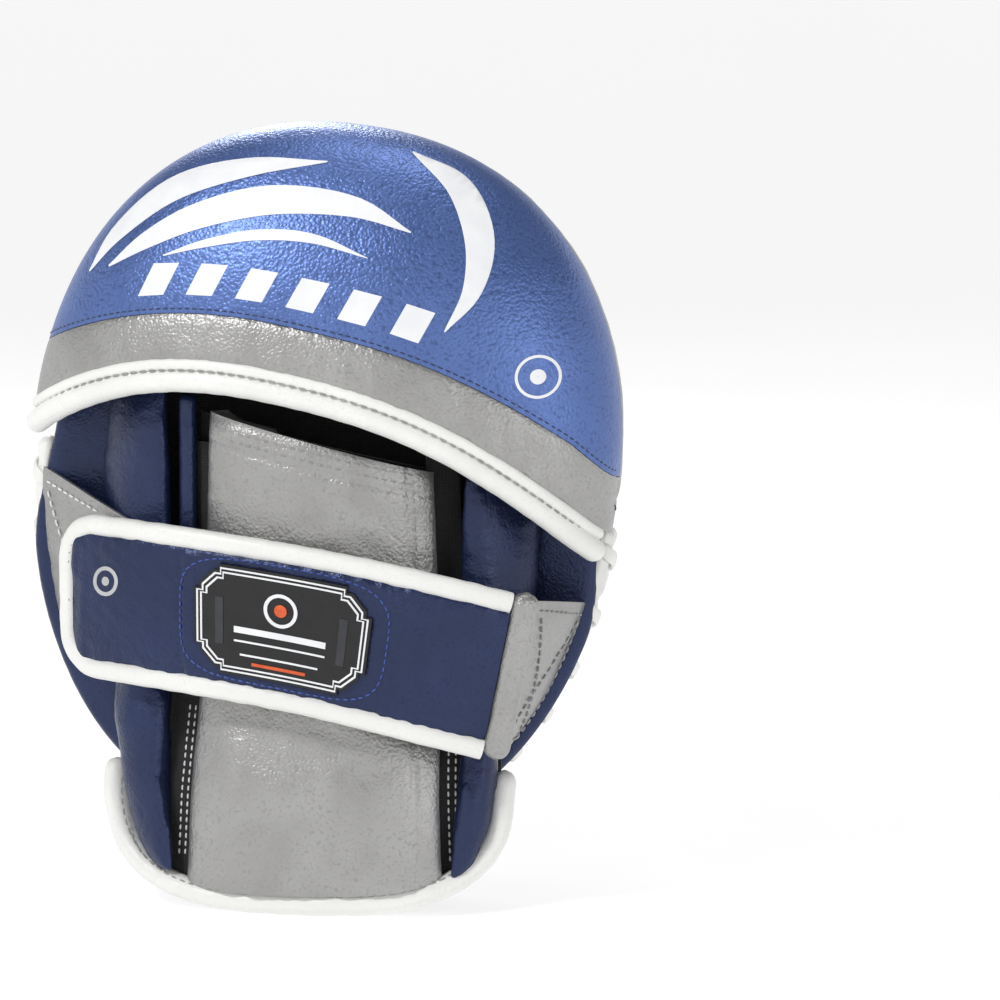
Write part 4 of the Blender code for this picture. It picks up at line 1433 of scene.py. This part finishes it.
def build_badge():
    def on_strap(a, b, height):
        return strap_point(BADGE_X + a, b, -height)

    plate(
        "strap_badge_plaque", [badge_outline(0.0)], on_strap, -0.6, 1.9, "rubber", "strap",
        replaces=("strap_badge",)
    )
    frames = []
    for margin in (0.9, 2.2):
        outer, inner = badge_outline(margin), badge_outline(margin + 0.55)
        for k in range(len(outer)):
            n = (k + 1) % len(outer)
            frames.append([outer[k], outer[n], inner[n], inner[k]])
    plate("badge_frame_lines", frames, on_strap, 1.8, 2.2, "print_white", "strap")
    marks = ring_arc((0.0, 5.6), 4.3, 5.4, 0, 360, 48)
    marks.append([(-15.0, -5.9), (15.0, -5.9), (15.0, -6.5), (-15.0, -6.5)])
    marks.append([(-13.0, -10.2), (13.0, -10.2), (13.0, -10.8), (-13.0, -10.8)])
    marks.append([(-15.0, -3.6), (15.0, -3.6), (15.0, -1.6), (-15.0, -1.6)])
    plate("badge_white_marks", marks, on_strap, 1.8, 2.3, "print_white", "strap")
    orange = ring_arc((0.0, 5.6), 0.1, 2.0, 0, 360, 24)
    orange.append([(-9.0, -13.6), (9.0, -13.6), (9.0, -12.6), (-9.0, -12.6)])
    plate("badge_orange_marks", orange, on_strap, 1.8, 2.35, "orange", "strap")
    shade = []
    for k in (-1, 1):
        shade += stroke([(k * 20.0, 7.0), (k * 20.0, -0.5), (k * 20.0, -8.0)], [1.3, 1.3, 1.3], 20)
    plate("badge_grey_marks", shade, on_strap, 1.8, 2.15, "badge_grey", "strap")

    def on_leather(a, b, height):
        return strap_out(-64.0 + a + 0.12 * b, 6.0 + b, height)

    round_mark = ring_arc((0.0, 0.0), 3.6, 4.9, 0, 360, 40) + ring_arc((0.0, 0.0), 0.1, 1.5, 0, 360, 24)
    plate("strap_round_print", round_mark, on_leather, -0.15, 0.13, "print_silver", "strap", step=2.0)
    row = []
    for k in range(241):
        angle = 2 * math.pi * k / 240
        a = (BADGE_HALF_WIDTH + 5.5) * signed_power(math.cos(angle), 0.5)
        b = min(
            STRAP_HALF - 2 * STRAP_BINDING - 1.2, BADGE_HALF_HEIGHT + 3.0
        ) * signed_power(math.sin(angle), 0.5)
        row.append((BADGE_X + a, b))
    path = np.array([strap_out(x, across, 0.1) for x, across in row])
    stitches(
        "badge_border_stitches", [(path, strap_outward(row))], "thread_blue", "strap", pitch=2.5, length=1.7,
        radius=0.26
    )


# ---------------------------------------------------------------- the strap's anchors


def fold_line(v):
    x, y, z = strap_point(STRAP_RIGHT_X, STRAP_HALF * (2 * v - 1), 3.0)
    return np.array((x + FOLD_RADIUS + 0.9, y, z))


def wing_right(u, v):
    far = egg(-0.72 + 0.48 * v, 3.0)
    rim = np.array((far[0], BACK_Y + WING_TUCK, far[1]))
    fold = fold_line(0.04 + 0.92 * v)
    near = fold + normalised(rim - fold) * 2.4
    place = near + (rim - near) * u
    place[0] += 2.0 * math.sin(math.pi * u)
    return tuple(place)


def wing_left(u, v):
    far = egg(math.pi + 0.62 - 0.5 * v, 3.0)
    rim = np.array((far[0], BACK_Y + WING_TUCK, far[1]))
    x = -53.0 - 2.0 * v
    near = np.array((x, -46.6, strap_z(x) + 25.0 * (2 * v - 1)))
    place = rim + (near - rim) * u
    place[1] -= 1.2 * math.sin(math.pi * u)
    return tuple(place)


def on_wing(wing, line, lift):
    """A line of (u, v) on a wing, as a path with outward directions."""
    path, outward = [], []
    for u, v in line:
        here = np.array(wing(u, v))
        normal = np.cross(np.array(wing(u + 0.01, v)) - here, np.array(wing(u, v + 0.01)) - here)
        outward.append(normal / np.linalg.norm(normal))
        path.append(here + outward[-1] * lift)
    return np.array(path), np.array(outward)


def straight(start, end, count=40):
    return [(
        start[0] + (end[0] - start[0]) * k / count, start[1] + (end[1] - start[1]) * k / count
    ) for k in range(count + 1)]


def build_anchors():
    for name, wing, steps in (("right", wing_right, (60, 90)), ("left", wing_left, (70, 90))):

        def relief(u, v, point, name=name):
            edge = min(v, 1 - v) * 50.0
            return (
                0.35 * ripple(u * 30, v * 50, 14.0, 3.0) + 0.2 * dome(edge, 4.0)
                + 0.15 * ripple(u * 30, v * 50, 4.0)
            )

        skin(
            f"wing_{name}_leather", wing, *steps, 1.6, "silver", relief, body="mitt",
            replaces=(f"wing_{name}",)
        )
    path = np.array([fold_line(v) for v in np.linspace(-0.01, 1.01, 60)])
    outward = np.tile((0.45, -0.9, 0.0), (60, 1))
    section = roll_section(3.9, 4.4, 0.05, 7.0, True, 24, 5.0, 0.8)
    roll(
        "wing_right_fold_leather", path, outward, section, "silver", body="mitt",
        replaces=("wing_right_fold",)
    )
    rows = [
        on_wing(wing_right, straight((0.12, 0.06), (0.12, 0.94)), 0.5),
        on_wing(wing_right, straight((0.94, 0.1), (0.16, 0.06)), 0.5),
        on_wing(wing_right, straight((0.16, 0.94), (0.94, 0.93)), 0.5),
        on_wing(wing_right, straight((0.9, 0.9), (0.2, 0.12)), 0.5),
        on_wing(wing_right, straight((0.2, 0.9), (0.62, 0.08)), 0.5),
        on_wing(wing_right, straight((0.9, 0.12), (0.9, 0.9)), 0.5),
    ]
    stitches("wing_right_stitches", rows, "thread_grey", "mitt", pitch=3.0, length=2.1, radius=0.32)
    rows = [
        on_wing(wing_left, straight((0.04, 0.94), (0.62, 0.94)), 0.5),
        on_wing(wing_left, straight((0.06, 0.9), (0.5, 0.2)), 0.5),
        on_wing(wing_left, straight((0.04, 0.06), (0.9, 0.06)), 0.5),
    ]
    stitches("wing_left_stitches", rows, "thread_white", "mitt", pitch=3.4, length=2.3, radius=0.34)

    def loops(u, v):
        x, y, z = wing_left(0.44 + 0.44 * u, 0.2 + 0.6 * v)
        return x, y - 1.1, z

    skin("wing_left_loop_tape", loops, 30, 30, 0.6, "hooks", body="mitt", replaces=("wing_left_loop_patch",))


# ---------------------------------------------------------------- the room


def build_room():
    """A pale floor that turns up into a pale wall all round, soft lights and the camera."""
    profile = [(0.0, 0.0), (2.0, 0.0), (2.4, 0.03), (2.8, 0.14), (3.1, 0.4), (3.3, 0.9), (3.4, 1.6)]
    points, faces = [(0.0, 0.0, -0.0004)], []
    around = 96
    for reach, height in profile[1:]:
        for k in range(around):
            angle = math.tau * k / around
            points.append((reach * math.cos(angle), reach * math.sin(angle), height - 0.0004))
    for k in range(around):
        n = (k + 1) % around
        faces.append((0, 1 + k, 1 + n))
        for j in range(len(profile) - 2):
            low = 1 + j * around
            faces.append((low + k, low + around + k, low + around + n, low + n))
    mesh = bpy.data.meshes.new("floor")
    mesh.from_pydata(points, [], faces)
    mesh.shade_smooth()
    paint = moulded("pale_floor", (0.3, 0.3, 0.305), (0.29, 0.29, 0.295), 0.9, 40.0, 0.02)
    paint.node_tree.nodes["Principled BSDF"].inputs["Emission Color"].default_value = (1.0, 1.0, 1.0, 1.0)
    paint.node_tree.nodes["Principled BSDF"].inputs["Emission Strength"].default_value = 0.76
    mesh.materials.append(paint)
    floor = bpy.data.objects.new("floor", mesh)
    bpy.context.scene.collection.objects.link(floor)
    world_light = bpy.data.worlds.new("room")
    world_light.use_nodes = True
    world_light.node_tree.nodes["Background"].inputs["Color"].default_value = (0.95, 0.97, 1.0, 1.0)
    world_light.node_tree.nodes["Background"].inputs["Strength"].default_value = 0.15
    bpy.context.scene.world = world_light
    for name, place, size, power in (
        ("key", (-0.7, -1.1, 1.35), 0.42, 15.0),
        ("fill", (1.3, -1.0, 0.5), 0.8, 2.6),
        ("top", (0.1, 0.1, 1.7), 0.7, 5.5),
        ("front", (-0.5, 1.5, 1.2), 0.6, 11.0),
    ):
        light = bpy.data.lights.new(name, "AREA")
        light.shape = "DISK"
        light.size = size
        light.energy = power
        lamp = bpy.data.objects.new(name, light)
        lamp.location = place
        aim = Vector((0.0, 0.0, 0.13)) - Vector(place)
        lamp.rotation_euler = aim.to_track_quat("-Z", "Y").to_euler()
        bpy.context.scene.collection.objects.link(lamp)
    right = Vector((math.cos(VIEW_AZIMUTH), math.sin(VIEW_AZIMUTH), 0.0))
    back = Vector((
        math.sin(VIEW_AZIMUTH) * math.cos(VIEW_ELEVATION), -math.cos(VIEW_AZIMUTH) * math.cos(VIEW_ELEVATION),
        math.sin(VIEW_ELEVATION)
    ))
    up = back.cross(right)
    aim = right * VIEW_AIM[0] + up * VIEW_AIM[1] + back * VIEW_AIM[2]
    camera_data = bpy.data.cameras.new("camera")
    camera_data.lens = VIEW_LENS
    camera_data.clip_start = 0.05
    camera = bpy.data.objects.new("camera", camera_data)
    camera.location = world(aim + back * VIEW_DISTANCE)
    camera.rotation_euler = back.to_track_quat("Z", "Y").to_euler()
    bpy.context.scene.collection.objects.link(camera)
    bpy.context.scene.camera = camera
    bpy.context.scene.view_settings.view_transform = "Standard"


def dress_foam():
    """The foam layers inside stay as they are in the frame, with a foam material."""
    for name in ("impact_foam_front", "impact_foam_middle", "palm_foam_rear", "hood_foam"):
        node = frame["nodes"][name]
        node.data.materials.clear()
        node.data.materials.append(LOOKS["foam"])


build_room()
build_face()
build_sides()
build_back()
build_lacing()
build_hood()
build_column()
for side_name in BOLSTERS:
    build_bolster(side_name)
build_inner_roll()
build_cuff_binding()
build_strap()
build_anchors()
dress_foam()
